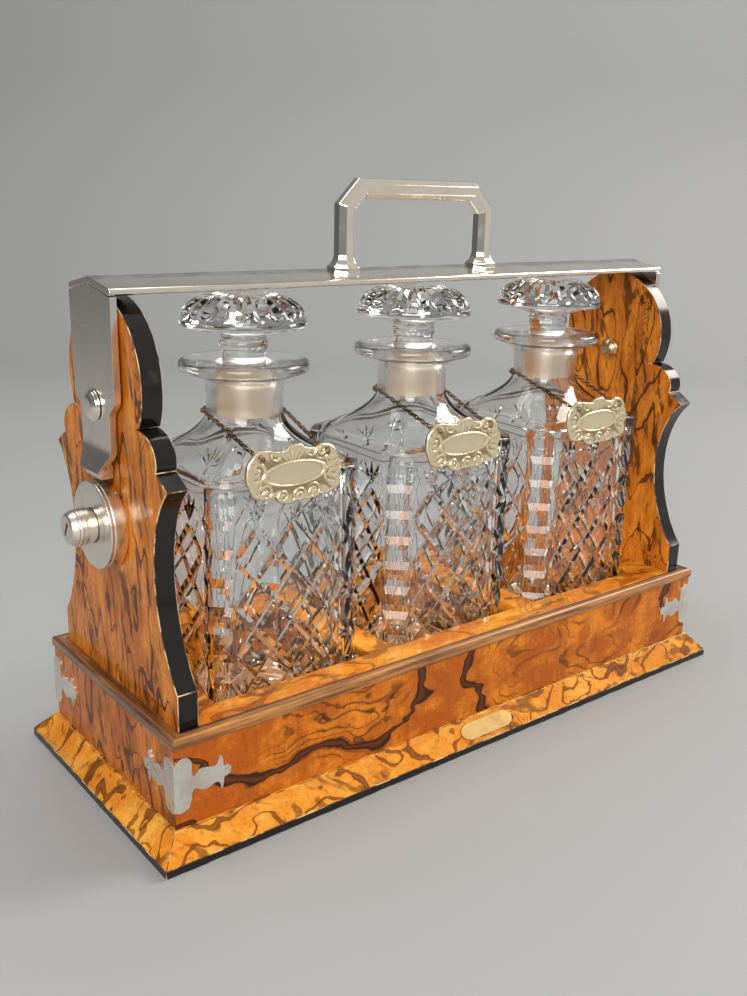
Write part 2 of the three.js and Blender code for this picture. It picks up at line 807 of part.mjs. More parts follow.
// The leaf spring stands on the drum's wall and leans against the front of the bolt.
function springShape() {
  const foot = drumRadius - drumWall - fitGap;
  const backAngle = springFootAngle + springThickness / foot;
  const lean = boltHalf + fitGap;
  const low = boltFoot + fitGap;
  const footY = foot * Math.cos(springFootAngle);
  const footZ = foot * Math.sin(springFootAngle);
  const backY = foot * Math.cos(backAngle);
  const backZ = foot * Math.sin(backAngle);
  const shape = new THREE.Shape();
  shape.moveTo(-lean, low);
  shape.lineTo(-lean - springThickness, low);
  shape.quadraticCurveTo(-lean - springThickness * 2, footZ - springThickness, -footY, footZ);
  shape.lineTo(-backY, backZ);
  shape.quadraticCurveTo(-lean, backZ, -lean, low);
  return shape;
}

function addLock() {
  const x = -innerHalfLength;
  const slotHalf = boltHalf + fitGap;
  const slotX0 = -boltOuter - fitGap;
  const slotX1 = -boltDepth + fitGap;
  const slot = block(slotX0, slotX1, -slotHalf, slotHalf, drumRadius - drumWall * 2, drumRadius + overrun);
  const drum = cutBy(turnedOut(drumProfile(), 36, -1), slot);
  addPiece("lock_case", drum, "silver", x, 0, lockZ);
  const keySlot = block(
    -barrelReach - overrun,
    -barrelReach + keySlotDepth,
    -keySlotWidth / 2,
    keySlotWidth / 2,
    -keySlotLength / 2,
    keySlotLength / 2,
  );
  keySlot.rotateX(keySlotTurn);
  addPiece("lock_barrel", cutBy(turnedOut(barrelProfile(), 24, -1), keySlot), "silver", x, 0, lockZ);
  const cam = sweptAlongX(camShape(), -boltDepth - camThickness, -boltDepth, 8);
  addPiece("lock_cam", cam, "steel", x, 0, lockZ);
  const bolt = block(-boltOuter, -boltDepth, -boltHalf, boltHalf, boltFoot, boltTop);
  addPiece("lock_bolt", bolt, "steel", x, 0, lockZ);
  addPiece("lock_spring", sweptAlongX(springShape(), -boltOuter, -boltDepth, 5), "steel", x, 0, lockZ);
}

// A corner mount is two thin plates round one corner of the case: an ear, and an arm with a forked leaf end.
// The half outline is drawn as shares of the mount's reach and of its half height.
const mountShares = [
  [0, 0.93], [0.06, 0.99], [0.13, 1], [0.22, 0.93], [0.29, 0.72], [0.29, 0.4], [0.31, 0.24],
  [0.38, 0.17], [0.42, 0.3], [0.48, 0.38], [0.56, 0.34], [0.64, 0.33], [0.73, 0.42],
  [0.82, 0.6], [0.85, 0.42], [0.85, 0.18], [0.91, 0.13], [1, 0.16],
];

function mountShape() {
  const upper = mountShares.map(([u, v]) => new THREE.Vector2(u * mountReach, v * mountHalfHeight));
  const lower = upper.map((point) => new THREE.Vector2(point.x, -point.y)).reverse();
  const corner = -mountThickness - jointGap;
  const rise = mountShares[0][1] * mountHalfHeight;
  const corners = [new THREE.Vector2(corner, -rise), new THREE.Vector2(corner, rise)];
  return new THREE.Shape([...upper, ...lower, ...corners]);
}

function mountGeometry() {
  const shape = mountShape();
  const along = sweptAlongY(shape, -mountThickness - jointGap, -jointGap);
  const around = sweptAlongX(shape, -mountThickness - jointGap, -jointGap);
  return joined(along, around);
}

function addCornerMounts() {
  const geometry = mountGeometry();
  const corners = [
    ["front_left", -caseHalfLength, -caseHalfDepth, 0],
    ["front_right", caseHalfLength, -caseHalfDepth, Math.PI / 2],
    ["back_right", caseHalfLength, caseHalfDepth, Math.PI],
    ["back_left", -caseHalfLength, caseHalfDepth, -Math.PI / 2],
  ];
  for (const [name, x, y, turn] of corners) {
    const mesh = addPiece(`corner_mount_${name}`, geometry, "silver", x, y, mountZ);
    mesh.rotation.z = turn;
  }
}

// A plain plate with round-lobed ends lies on the front slope of the plinth.
function addNamePlate() {
  const halfBody = plateLength / 2 - plateWidth / 2;
  const halfWidth = plateWidth / 2;
  const lobe = halfWidth * plateLobeShare;
  const shape = new THREE.Shape();
  shape.moveTo(-halfBody, -halfWidth);
  shape.lineTo(halfBody, -halfWidth);
  shape.absarc(plateLength / 2 - lobe, 0, lobe, -Math.PI / 3, Math.PI / 3, false);
  shape.lineTo(halfBody, halfWidth);
  shape.lineTo(-halfBody, halfWidth);
  shape.absarc(-plateLength / 2 + lobe, 0, lobe, Math.PI * 2 / 3, Math.PI * 4 / 3, false);
  const sweep = { depth: plateThickness, bevelEnabled: false, curveSegments: 8 };
  const plate = new THREE.ExtrudeGeometry(shape, sweep);
  plate.translate(0, 0, fitGap);
  const slopeRise = plinthTop - bandHeight;
  const slopeRun = plinthSpread - plinthLedge;
  const midY = -caseHalfDepth - (plinthSpread + plinthLedge) / 2;
  const mesh = addPiece("name_plate", plate, "brass", 0, midY, (plinthTop + bandHeight) / 2);
  mesh.rotation.x = Math.atan2(slopeRise, slopeRun);
}

// Glass. A decanter is turned as one shell, outside and inside, then its lower rings are drawn out square.
// Each ring is [half width, height, squareness], and a square ring has chamfered corners.
// The shoulder's rings are shares of the way in to the neck, of the way up to it, and of the squareness.
const ringTurnShares = [0, 0.22, 0.438, 0.5, 0.562, 0.78];
const shoulderShares = [
  { in: 0.28, up: 0.14, square: 0.9 },
  { in: 0.52, up: 0.31, square: 0.72 },
  { in: 0.75, up: 0.54, square: 0.4 },
  { in: 0.92, up: 0.8, square: 0.12 },
];

function shoulderRings(halfWidth, shoulder, radius, neckFoot) {
  return shoulderShares.map((step) => [
    halfWidth - (halfWidth - radius) * step.in,
    shoulder + (neckFoot - shoulder) * step.up,
    step.square,
  ]);
}

function decanterRings() {
  const half = decanterWidth / 2;
  const inner = half - glassWall;
  const innerShoulder = decanterShoulder - glassWall / 2;
  const lipMid = (decanterLipFoot + decanterHeight) / 2;
  const neckFlare = neckRadius + (lipRadius - neckRadius) * neckFlareShare;
  const outside = [
    [0, 0, 1],
    [half - footRound, 0, 1],
    [half, footRound, 1],
    [half, decanterShoulder, 1],
    ...shoulderRings(half, decanterShoulder, neckRadius, decanterNeckFoot),
    [neckRadius, decanterNeckFoot, 0],
    [neckRadius, decanterNeckTop, 0],
    [neckFlare, (decanterNeckTop + decanterLipFoot) / 2, 0],
    [lipRadius - lipRound, decanterLipFoot, 0],
    [lipRadius, lipMid, 0],
    [lipRadius - lipRound, decanterHeight, 0],
  ];
  const inside = [
    [boreRadius, decanterHeight, 0],
    [boreRadius, decanterNeckFoot, 0],
    ...shoulderRings(inner, innerShoulder, boreRadius, decanterNeckFoot).reverse(),
    [inner, innerShoulder, 1],
    [inner, glassFloor, 1],
    [0, glassFloor, 1],
  ];
  return [...outside, ...inside];
}

function squareRadius(half, angle) {
  const [across, along] = [Math.abs(Math.cos(angle)), Math.abs(Math.sin(angle))];
  const chamfer = decanterChamfer * half * 2 / decanterWidth;
  return Math.min(half / Math.max(across, along), (half * 2 - chamfer) / (across + along));
}

function decanterGeometry() {
  const rings = decanterRings();
  const stepsInTurn = ringTurnShares.length * 4;
  const geometry = turned(rings, stepsInTurn);
  const place = geometry.attributes.position;
  for (let i = 0; i < place.count; i += 1) {
    const step = Math.floor(i / rings.length) % stepsInTurn;
    const [half, height, square] = rings[i % rings.length];
    const quarter = Math.floor(step / ringTurnShares.length);
    const angle = (quarter + ringTurnShares[step % ringTurnShares.length]) * Math.PI / 2;
    const radius = half + (squareRadius(half, angle) - half) * square;
    place.setXYZ(i, radius * Math.sin(angle), height, radius * Math.cos(angle));
  }
  return geometry.rotateX(Math.PI / 2);
}

// A cutter is a square bar along X that stands a little out of the face it cuts.
function cutter(length, width, depth) {
  const reach = length / 2;
  const deep = depth + cutterStand;
  const wide = width / 2 * deep / depth;
  const bar = turned([[0, -reach], [1, -reach], [1, reach], [0, reach]], 4).rotateZ(-Math.PI / 2);
  return bar.scale(1, deep, wide).translate(0, -cutterStand, 0);
}

// The V grooves of the front face: every groove crosses the pattern from edge to edge.
function faceCuts() {
  const patternHalf = cutCellWidth * cutCellsAcross / 2;
  const slope = cutCellHeight / cutCellWidth;
  const angle = Math.atan(slope);
  const rows = Math.ceil((cutTop - cutFoot) / cutCellHeight) + cutCellsAcross;
  const bars = [];
  for (const [i, lean] of [-1, 1].entries()) {
    for (let row = -cutCellsAcross; row < rows; row += cutRowStep) {
      const middleZ = cutFoot + cutCellHeight * (row + 1 / 2);
      const lowZ = Math.max(cutFoot, middleZ - slope * patternHalf);
      const highZ = Math.min(cutTop, middleZ + slope * patternHalf);
      const length = (highZ - lowZ) / Math.sin(angle);
      if (length > shortestCut) {
        const z = (lowZ + highZ) / 2;
        const bar = cutter(length + cutMargin * 2, cutWidth, cutDepths[i]).rotateY(-lean * angle);
        bars.push(bar.translate(lean * (z - middleZ) / slope, -decanterWidth / 2, z));
      }
    }
  }
  return bars;
}

function cornerCuts() {
  const cornerY = -(decanterWidth - decanterChamfer) / Math.SQRT2;
  const bars = [];
  for (let i = 0; i < notchCount; i += 1) {
    const bar = cutter(notchLength, notchWidth, notchDepth);
    bars.push(bar.translate(0, cornerY, cutFoot + notchPitch * (i + 1 / 2)).rotateZ(Math.PI / 4));
  }
  return bars;
}

function cutDecanterGeometry() {
  const oneSide = [...faceCuts(), ...cornerCuts()];
  const turns = [0, 1, 2, 3].map((quarter) => quarter * Math.PI / 2);
  const cuts = turns.flatMap((turn) => oneSide.map((cut) => cut.clone().rotateZ(turn)));
  return cutBy(decanterGeometry(), ...cuts);
}

// A stopper is a ground plug, a stem with a slight collar and a mushroom cap.
function stopperGeometry() {
  const domeRise = stopperRise - capRimHeight;
  const dome = domeShares.map(([across, up]) => [capRadius * across, capRimHeight + domeRise * up]);
  const profile = [
    [0, -plugDepth],
    [plugRadius - edgeBreak, -plugDepth],
    [plugRadius, -plugDepth + edgeBreak],
    [plugRadius, -collarFoot],
    [stemRadius, -collarFoot + stopperRound],
    [stemRadius, collarFoot],
    [collarRadius, collarFoot + stopperRound],
    [collarRadius, collarTop - stopperRound],
    [stemRadius, collarTop],
    [(stemRadius + capRadius) / 2, (collarTop + capRimHeight) / 2 - stopperRound],
    [capRadius - stopperRound, capRimHeight - stopperRound],
    [capRadius, capRimHeight],
    ...dome,
    [0, stopperRise],
  ];
  return turnedUp(profile, 24);
}

// A label is a cast plate with a scrolled outline, given as shares of its half width and of its height.
const labelShares = [
  [-0.86, 0.2], [-0.75, 0.15], [-0.62, 0.13], [-0.44, 0.14], [-0.36, 0.06], [-0.2, 0], [0.02, 0.03],
  [0.24, 0.02], [0.4, 0.03], [0.52, 0.07], [0.62, 0.06], [0.8, 0.09], [0.96, 0.18], [0.94, 0.34],
  [1, 0.52], [0.9, 0.7], [0.85, 0.82], [0.74, 0.9], [0.56, 0.94], [0.42, 0.89], [0.22, 0.92],
  [0.1, 0.99], [-0.12, 0.97], [-0.22, 0.91], [-0.48, 0.93], [-0.7, 0.96], [-0.86, 0.88],
  [-0.98, 0.72], [-1, 0.5], [-0.94, 0.34],
];

function labelGeometry() {
  const halfWidth = labelWidth / 2;
  const points = labelShares.map(([u, v]) => [u * halfWidth, (v - 1) * labelHeight + eyeDrop]);
  const shape = new THREE.Shape(points.map(([x, y]) => new THREE.Vector2(x, y)));
  for (const x of [-eyeSpan / 2, eyeSpan / 2]) {
    shape.holes.push(roundHole(x, 0, eyeRadius));
  }
  return sweptAlongY(shape, -labelThickness / 2, labelThickness / 2, 6);
}

// A chain runs from one eye of the label back round the decanter's neck to the other eye.
class ChainPath extends THREE.CatmullRomCurve3 {
  constructor(frontY, eyeZ) {
    const loopRadius = neckRadius + chainRadius * 2;
    const loopZ = decanterNeckFoot + chainLift;
    const eyeX = eyeSpan / 2;
    const behind = frontY + chainTuck;
    const before = frontY - labelThickness;
    const loop = [];
    const loopSteps = 8;
    for (let i = 0; i <= loopSteps; i += 1) {
      const angle = Math.PI - Math.PI * i / loopSteps;
      loop.push(new THREE.Vector3(loopRadius * Math.cos(angle), loopRadius * Math.sin(angle), loopZ));
    }
    super([
      new THREE.Vector3(-eyeX, before, eyeZ),
      new THREE.Vector3(-eyeX, behind, eyeZ),
      ...loop,
      new THREE.Vector3(eyeX, behind, eyeZ),
      new THREE.Vector3(eyeX, before, eyeZ),
    ]);
  }
}

function chainGeometry(frontY, eyeZ) {
  const link = new THREE.Shape();
  link.absarc(0, 0, chainRadius, 0, Math.PI * 2, false);
  const path = new ChainPath(frontY, eyeZ);
  return new THREE.ExtrudeGeometry(link, { steps: 36, extrudePath: path, curveSegments: 3 });
}

function addDecanters() {
  const labelY = -decanterWidth / 2 - labelGap - labelThickness / 2;
  const eyeZ = decanterShoulder + labelRise - eyeDrop;
  const [decanter, stopper] = [cutDecanterGeometry(), stopperGeometry()];
  const [label, chain] = [labelGeometry(), chainGeometry(labelY, eyeZ)];
  decanterPlaces.forEach((x, i) => {
    addPiece(`decanter_${i + 1}`, decanter, "crystal", x, 0, decanterFootZ);
    addPiece(`stopper_${i + 1}`, stopper, "crystal", x, 0, lipTopZ);
    addPiece(`label_${i + 1}`, label, "gilt", x, labelY, decanterFootZ + eyeZ);
    addPiece(`chain_${i + 1}`, chain, "chain", x, 0, decanterFootZ);
  });
}

addBase();
addMitredFrame("plinth", plinthProfile(), "veneer");
addMitredFrame("box", wallProfile(), "veneer");
addMitredFrame("rim", rimProfile(), "moulding");
addTopBoard();
addPanels();
addPivots();
addTopBar();
addStraps();
addHandle();
addHandleScrews();
addLock();
addCornerMounts();
addNamePlate();
addDecanters();

export default tantalus;
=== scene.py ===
# %% [markdown]
# # A tantalus in Blender
# A tantalus is a carrying case for decanters that locks them in. This one has a veneered case, three square
# cut-glass decanters with mushroom stoppers, and a metal bar that swings over the stoppers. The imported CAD
# model is loaded first and stays as it is. Plain wooden pieces of it only get a material and a softened
# edge. Glass, metalwork and shaped panels are rebuilt finer, each in the place of its CAD node.

# %% Load the frame
import math

import bmesh
import bpy
from mathutils import Matrix, Vector
from mathutils.geometry import delaunay_2d_cdt


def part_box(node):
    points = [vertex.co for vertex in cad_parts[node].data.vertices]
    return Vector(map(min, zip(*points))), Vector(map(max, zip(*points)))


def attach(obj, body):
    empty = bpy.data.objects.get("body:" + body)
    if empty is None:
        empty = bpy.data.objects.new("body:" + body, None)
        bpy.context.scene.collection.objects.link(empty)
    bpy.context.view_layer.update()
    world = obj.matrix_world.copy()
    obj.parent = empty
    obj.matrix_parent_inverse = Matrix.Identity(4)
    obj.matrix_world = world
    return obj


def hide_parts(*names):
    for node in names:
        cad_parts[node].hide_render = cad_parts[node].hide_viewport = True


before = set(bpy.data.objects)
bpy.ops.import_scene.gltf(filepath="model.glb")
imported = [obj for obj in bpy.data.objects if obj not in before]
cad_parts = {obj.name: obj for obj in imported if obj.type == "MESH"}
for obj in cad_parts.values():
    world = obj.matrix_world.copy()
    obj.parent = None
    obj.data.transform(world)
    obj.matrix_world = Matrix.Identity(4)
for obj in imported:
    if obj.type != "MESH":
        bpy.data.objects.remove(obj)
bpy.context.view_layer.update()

# %% [markdown]
# The pieces below are written in millimetres from the middle of the case, as a maker would measure them,
# with the front towards -Y. The frame is in metres and its origin is the middle of the whole object, which
# the lock's barrel moves a little, so one small function turns a maker's point into a frame point.

# %% Millimetres from the middle of the case
MM = 0.001
wall_low, wall_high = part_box("box_front")
MIDDLE_X = (wall_low.x + wall_high.x) / 2
CASE_HALF_LENGTH = (wall_high.x - wall_low.x) / 2 / MM
CASE_HALF_DEPTH = -wall_low.y / MM


def in_frame(x, y, z):
    return Vector((x * MM + MIDDLE_X, y * MM, z * MM))


def box_mm(node):
    """A CAD node's lowest and highest corner in millimetres from the middle of the case."""
    low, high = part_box(node)
    shift = Vector((MIDDLE_X, 0, 0))
    return (low - shift) / MM, (high - shift) / MM


print("middle of the case at X", round(MIDDLE_X / MM, 3), "mm")

# %% [markdown]
# The camera stands where the photograph was taken from: in front of the left corner, a little above the bar.
# Its place and its three turns come from fitting the corners of the case, the bar and the rims of the glass.
# The focal length belongs to the long side of the picture, so the sensor fit stays automatic.

# %% Camera
CAMERA_PLACE = (-353.6, -412.9, 279.0)
CAMERA_YAW, CAMERA_PITCH, CAMERA_ROLL = 0.6737, 0.2896, 0.0243
PICTURE_HEIGHT = 996
FOCAL_PIXELS = 1025.7


def camera_matrix():
    """The camera looks along ahead, and its roll tips right and up a little."""
    right = Vector((math.cos(CAMERA_YAW), -math.sin(CAMERA_YAW), 0))
    level = Vector((math.sin(CAMERA_YAW), math.cos(CAMERA_YAW), 0))
    ahead = level * math.cos(CAMERA_PITCH) - Vector((0, 0, math.sin(CAMERA_PITCH)))
    up = level * math.sin(CAMERA_PITCH) + Vector((0, 0, math.cos(CAMERA_PITCH)))
    across = right * math.cos(CAMERA_ROLL) + up * math.sin(CAMERA_ROLL)
    upright = up * math.cos(CAMERA_ROLL) - right * math.sin(CAMERA_ROLL)
    turn = Matrix((across, upright, -ahead)).transposed().to_4x4()
    return Matrix.Translation(in_frame(*CAMERA_PLACE)) @ turn


camera_data = bpy.data.cameras.new("camera")
camera_data.sensor_width = 36
camera_data.lens = camera_data.sensor_width * FOCAL_PIXELS / PICTURE_HEIGHT
camera_data.clip_start = 0.01
camera = bpy.data.objects.new("camera", camera_data)
bpy.context.collection.objects.link(camera)
camera.matrix_world = camera_matrix()
bpy.context.scene.camera = camera
print("lens", round(camera_data.lens, 2), "mm")

# %% [markdown]
# Every mesh here is made the same way: a list of points in millimetres and a list of faces. One helper turns
# them into a piece, makes its faces look outwards, marks sharp edges so that only true curves are shaded
# smooth, lets it ride on its body and stand for its CAD nodes.

# %% Making a piece
SHARP_ANGLE = math.radians(28)


def mesh_from(name, points, faces, face_slots=None, sharp=SHARP_ANGLE):
    mesh = bpy.data.meshes.new(name)
    mesh.from_pydata([in_frame(*p) for p in points], [], faces)
    if face_slots:
        mesh.polygons.foreach_set("material_index", face_slots)
    build = bmesh.new()
    build.from_mesh(mesh)
    bmesh.ops.recalc_face_normals(build, faces=build.faces)
    build.to_mesh(mesh)
    build.free()
    mesh.shade_smooth()
    mesh.set_sharp_from_angle(angle=sharp)
    return mesh


def add_piece(name, mesh, body, nodes, materials):
    piece = bpy.data.objects.new(name, mesh)
    bpy.context.collection.objects.link(piece)
    for material in materials:
        mesh.materials.append(material)
    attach(piece, body)
    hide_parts(*nodes)
    return piece


def soften(piece, width, segments=2, angle=30, worn_slot=-1):
    """Rounds a piece's sharp edges by width millimetres."""
    bevel = piece.modifiers.new("softened edges", "BEVEL")
    bevel.width = width * MM
    bevel.segments = segments
    bevel.limit_method = "ANGLE"
    bevel.angle_limit = math.radians(angle)
    bevel.harden_normals = True
    bevel.material = worn_slot


def applied(piece):
    """A copy of a piece's mesh with its modifiers applied."""
    depsgraph = bpy.context.evaluated_depsgraph_get()
    return bpy.data.meshes.new_from_object(piece.evaluated_get(depsgraph))


# %% [markdown]
# Three kinds of form cover most of the case: an outline given a thickness, a profile turned on a lathe, and
# curves for their outlines. An outline is drawn in two numbers, and a place function says which way they and
# the thickness point in the frame.

# %% Outlines, prisms and turned forms
def bezier(start, lean, reach, end, steps):
    points = []
    corners = (start, lean, reach, end)
    for i in range(steps + 1):
        t = i / steps
        s = 1 - t
        weights = (s ** 3, 3 * s * s * t, 3 * s * t * t, t ** 3)
        points.append(tuple(sum(w * p[k] for w, p in zip(weights, corners)) for k in (0, 1)))
    return points


def arc(x, y, radius, start, end, steps):
    angles = [start + (end - start) * i / steps for i in range(steps + 1)]
    return [(x + radius * math.cos(a), y + radius * math.sin(a)) for a in angles]


def mirrored(right_half):
    """A whole outline from its right half, drawn from the bottom to the top."""
    return right_half + [(-u, v) for u, v in reversed(right_half) if u > 0.01]


def through_x(depth, u, v):
    return (depth, u, v)


def through_y(depth, u, v):
    return (u, depth, v)


def prism(outline, depth0, depth1, place):
    """Points and faces of an outline between two depths: first the two ends, then the sides."""
    count = len(outline)
    points = [place(depth, u, v) for depth in (depth0, depth1) for u, v in outline]
    faces = [list(range(count)), list(range(2 * count - 1, count - 1, -1))]
    for i in range(count):
        j = (i + 1) % count
        faces.append([i, j, count + j, count + i])
    return points, faces


def on_axis_x(x, y, z, side):
    return lambda radius, height, angle: (
        x + side * height, y + radius * math.cos(angle), z + radius * math.sin(angle))


def on_axis_z(x, y, z):
    return lambda radius, height, angle: (
        x + radius * math.cos(angle), y + radius * math.sin(angle), z + height)


def turned(profile, steps, place):
    """Points and faces of a lathe form. A profile is [radius, height] pairs from axis to axis."""
    points, rings = [], []
    for radius, height in profile:
        if radius < 1e-6:
            rings.append([len(points)])
            points.append(place(0, height, 0))
        else:
            rings.append(list(range(len(points), len(points) + steps)))
            points += [place(radius, height, 2 * math.pi * i / steps) for i in range(steps)]
    return points, faces_between(rings, steps)


def faces_between(rings, steps):
    faces = []
    for lower, upper in zip(rings, rings[1:]):
        for i in range(steps):
            j = (i + 1) % steps
            around = ((lower, i), (lower, j), (upper, j), (upper, i))
            unique = list(dict.fromkeys(ring[k % len(ring)] for ring, k in around))
            if len(unique) > 2:
                faces.append(unique)
    return faces


def rounded_profile(corners, radius, steps=4):
    """A profile with every inner corner rounded, so that turned metal catches a soft light."""
    rounded = [corners[0]]
    for before, corner, after in zip(corners, corners[1:], corners[2:]):
        p, a, b = Vector(corner), Vector(before), Vector(after)
        cut = min(radius, (a - p).length * 0.45, (b - p).length * 0.45)
        start, end = p + (a - p).normalized() * cut, p + (b - p).normalized() * cut
        for i in range(steps + 1):
            t = i / steps
            rounded.append(tuple(start * (1 - t) ** 2 + p * 2 * t * (1 - t) + end * t * t))
    return rounded + [corners[-1]]


# %% [markdown]
# ## Stage
# A plain pale floor turns up into a backdrop. A warm lamp stands on the right, a stronger and whiter one
# stands in front on the left, and a weak one hangs above. The world adds a soft light of its own. Glass and
# polished metal show what is round them, so the floor stays a calm grey, the lamps are large and soft, and
# the world grows darker to the left and the back. That gives the metal its dark sides and its bright ones.

# %% Helpers for materials and their nodes
def new_material(name):
    material = bpy.data.materials.new(name)
    material.use_nodes = True
    tree = material.node_tree
    shader = tree.nodes["Principled BSDF"]
    return material, tree, shader


def add_node(tree, kind, **values):
    """A node with its properties and its input values set by name."""
    made = tree.nodes.new(kind)
    for key, value in values.items():
        if key in made.inputs:
            made.inputs[key].default_value = value
        else:
            setattr(made, key, value)
    return made


def set_inputs(node, **values):
    """Sets input values by name, where an underscore stands for a space."""
    for key, value in values.items():
        node.inputs[key.replace("_", " ")].default_value = value


def feed(tree, socket, value):
    """Puts a number or a colour into a socket, or links another socket to it."""
    if isinstance(value, (int, float)):
        socket.default_value = value
    elif isinstance(value, tuple):
        socket.default_value = (*value, 1)
    else:
        tree.links.new(value, socket)


def math_node(tree, operation, first, second=None):
    made = add_node(tree, "ShaderNodeMath", operation=operation)
    feed(tree, made.inputs[0], first)
    if second is not None:
        feed(tree, made.inputs[1], second)
    return made.outputs[0]


def range_node(tree, value, low, high, to_low=0.0, to_high=1.0):
    made = add_node(tree, "ShaderNodeMapRange", interpolation_type="SMOOTHSTEP")
    set_inputs(made, From_Min=low, From_Max=high, To_Min=to_low, To_Max=to_high)
    tree.links.new(value, made.inputs["Value"])
    return made.outputs[0]


def colour_mix(tree, factor, first, second):
    made = add_node(tree, "ShaderNodeMix", data_type="RGBA")
    tree.links.new(factor, made.inputs["Factor"])
    feed(tree, made.inputs["A"], first)
    feed(tree, made.inputs["B"], second)
    return made.outputs["Result"]


def bump_node(tree, height, strength, distance, below=None):
    """The normal of a bumpy surface. Below is the normal of a coarser one that it lies on."""
    made = add_node(tree, "ShaderNodeBump", Strength=strength, Distance=distance)
    tree.links.new(height, made.inputs["Height"])
    if below is not None:
        tree.links.new(below, made.inputs["Normal"])
    return made.outputs["Normal"]


# %% Floor and backdrop
FLOOR_COLOUR = (0.37, 0.38, 0.39, 1)


def floor_material():
    material, _, shader = new_material("pale floor")
    set_inputs(shader, Base_Color=FLOOR_COLOUR, Roughness=0.6)
    return material


def add_backdrop():
    """Half the width, the near and far ends, the height and the radius of the bend are in metres."""
    half, near, far, rise, bend = 3.0, -3.0, 1.6, 2.6, 0.5
    outline = [(near, 0.0), (far - bend, 0.0)]
    outline += arc(far - bend, bend, bend, -math.pi / 2, 0, 12)[1:]
    outline += [(far, rise)]
    mesh = bpy.data.meshes.new("floor")
    rows = [[(x, y, z) for y, z in outline] for x in (-half, half)]
    count = len(outline)
    faces = [[i, i + 1, count + i + 1, count + i] for i in range(count - 1)]
    mesh.from_pydata(rows[0] + rows[1], [], faces)
    mesh.shade_smooth()
    floor = bpy.data.objects.new("floor", mesh)
    floor.rotation_euler.z = -CAMERA_YAW
    bpy.context.collection.objects.link(floor)
    mesh.materials.append(floor_material())


add_backdrop()

# %% Lamps and world
def add_lamp(name, place, aim, size, watts, colour):
    data = bpy.data.lights.new(name, "AREA")
    data.shape = "RECTANGLE"
    data.size, data.size_y = size
    data.energy = watts
    data.color = colour
    lamp = bpy.data.objects.new(name, data)
    lamp.location = place
    lamp.rotation_mode = "QUATERNION"
    lamp.rotation_quaternion = (Vector(aim) - Vector(place)).to_track_quat("-Z", "Y")
    bpy.context.collection.objects.link(lamp)


add_lamp("key", (1.5, -0.35, 1.2), (0, 0, 0.1), (0.8, 0.8), 21, (1.0, 0.95, 0.87))
add_lamp("fill", (-1.15, -1.25, 0.9), (0, 0, 0.12), (1.2, 1.0), 24, (1.0, 0.97, 0.92))
add_lamp("top", (-0.1, 0.5, 1.5), (0, 0, 0.15), (1.4, 0.8), 9, (1.0, 0.99, 0.97))

WORLD_BRIGHT_WAY = (0.62, -0.5, 0.6)
WORLD_DARK, WORLD_BRIGHT, WORLD_STRENGTH = (0.19, 0.205, 0.225), (0.98, 0.95, 0.9), 0.55


def world_gradient(world):
    """Bright to the right, the front and above; dark to the left and the back."""
    tree = world.node_tree
    where = tree.nodes.new("ShaderNodeTexCoord")
    facing = add_node(tree, "ShaderNodeVectorMath", operation="DOT_PRODUCT")
    tree.links.new(where.outputs["Generated"], facing.inputs[0])
    facing.inputs[1].default_value = WORLD_BRIGHT_WAY
    share = range_node(tree, facing.outputs["Value"], -0.75, 0.8)
    background = tree.nodes["Background"]
    tree.links.new(colour_mix(tree, share, WORLD_DARK, WORLD_BRIGHT), background.inputs["Color"])
    background.inputs["Strength"].default_value = WORLD_STRENGTH


studio = bpy.data.worlds.new("studio")
bpy.context.scene.world = studio
studio.use_nodes = True
world_gradient(studio)
bpy.context.scene.view_settings.view_transform = "Standard"
print("floor, three lamps and the world made")

# %% [markdown]
# ## Wood
# The case is veneered in pollard wood, cut from a tree that was lopped again and again. Its figure is a warm
# orange ground, dark lines that wander like rivers on a map, sets of thin rings beside them, small eyes where
# shoots began, and short pores. All lines here are contour lines of a warped noise: where the noise passes a
# level, a line runs. Two node groups make the masks, and each veneer places them with its own values.

# %% Helpers for noise and places
def add_socket(group, name, kind, in_out, default=None):
    socket = group.interface.new_socket(name=name, in_out=in_out, socket_type=kind)
    if default is not None:
        socket.default_value = default


def noise(tree, vector, scale, detail=2.0, roughness=0.5, output="Fac"):
    made = add_node(tree, "ShaderNodeTexNoise", Detail=detail, Roughness=roughness)
    tree.links.new(vector, made.inputs["Vector"])
    feed(tree, made.inputs["Scale"], scale)
    return made.outputs[output]


def pushed(tree, vector, scale, amount):
    """A vector moved about by a noise, so that all that is drawn with it wanders."""
    centred = add_node(tree, "ShaderNodeVectorMath", operation="SUBTRACT")
    tree.links.new(noise(tree, vector, scale, 3.0, output="Color"), centred.inputs[0])
    centred.inputs[1].default_value = (0.5, 0.5, 0.5)
    push = add_node(tree, "ShaderNodeVectorMath", operation="SCALE")
    tree.links.new(centred.outputs[0], push.inputs[0])
    feed(tree, push.inputs["Scale"], amount)
    added = add_node(tree, "ShaderNodeVectorMath", operation="ADD")
    tree.links.new(vector, added.inputs[0])
    tree.links.new(push.outputs[0], added.inputs[1])
    return added.outputs[0]


def squeezed(tree, vector, scale, turn=(0, 0, 0)):
    made = add_node(tree, "ShaderNodeMapping", Scale=scale, Rotation=turn)
    tree.links.new(vector, made.inputs["Vector"])
    return made.outputs["Vector"]


def place_nodes(tree, stretch=(1, 1, 1), start=(0, 0, 0)):
    """The place of a point on the object, in metres, stretched and moved."""
    where = tree.nodes.new("ShaderNodeTexCoord")
    mapping = add_node(tree, "ShaderNodeMapping", Location=start, Scale=stretch)
    tree.links.new(where.outputs["Object"], mapping.inputs["Vector"])
    return mapping.outputs["Vector"]


def group_node(tree, group, vector, **values):
    made = tree.nodes.new("ShaderNodeGroup")
    made.node_tree = group
    tree.links.new(vector, made.inputs["Vector"])
    set_inputs(made, **values)
    return made.outputs


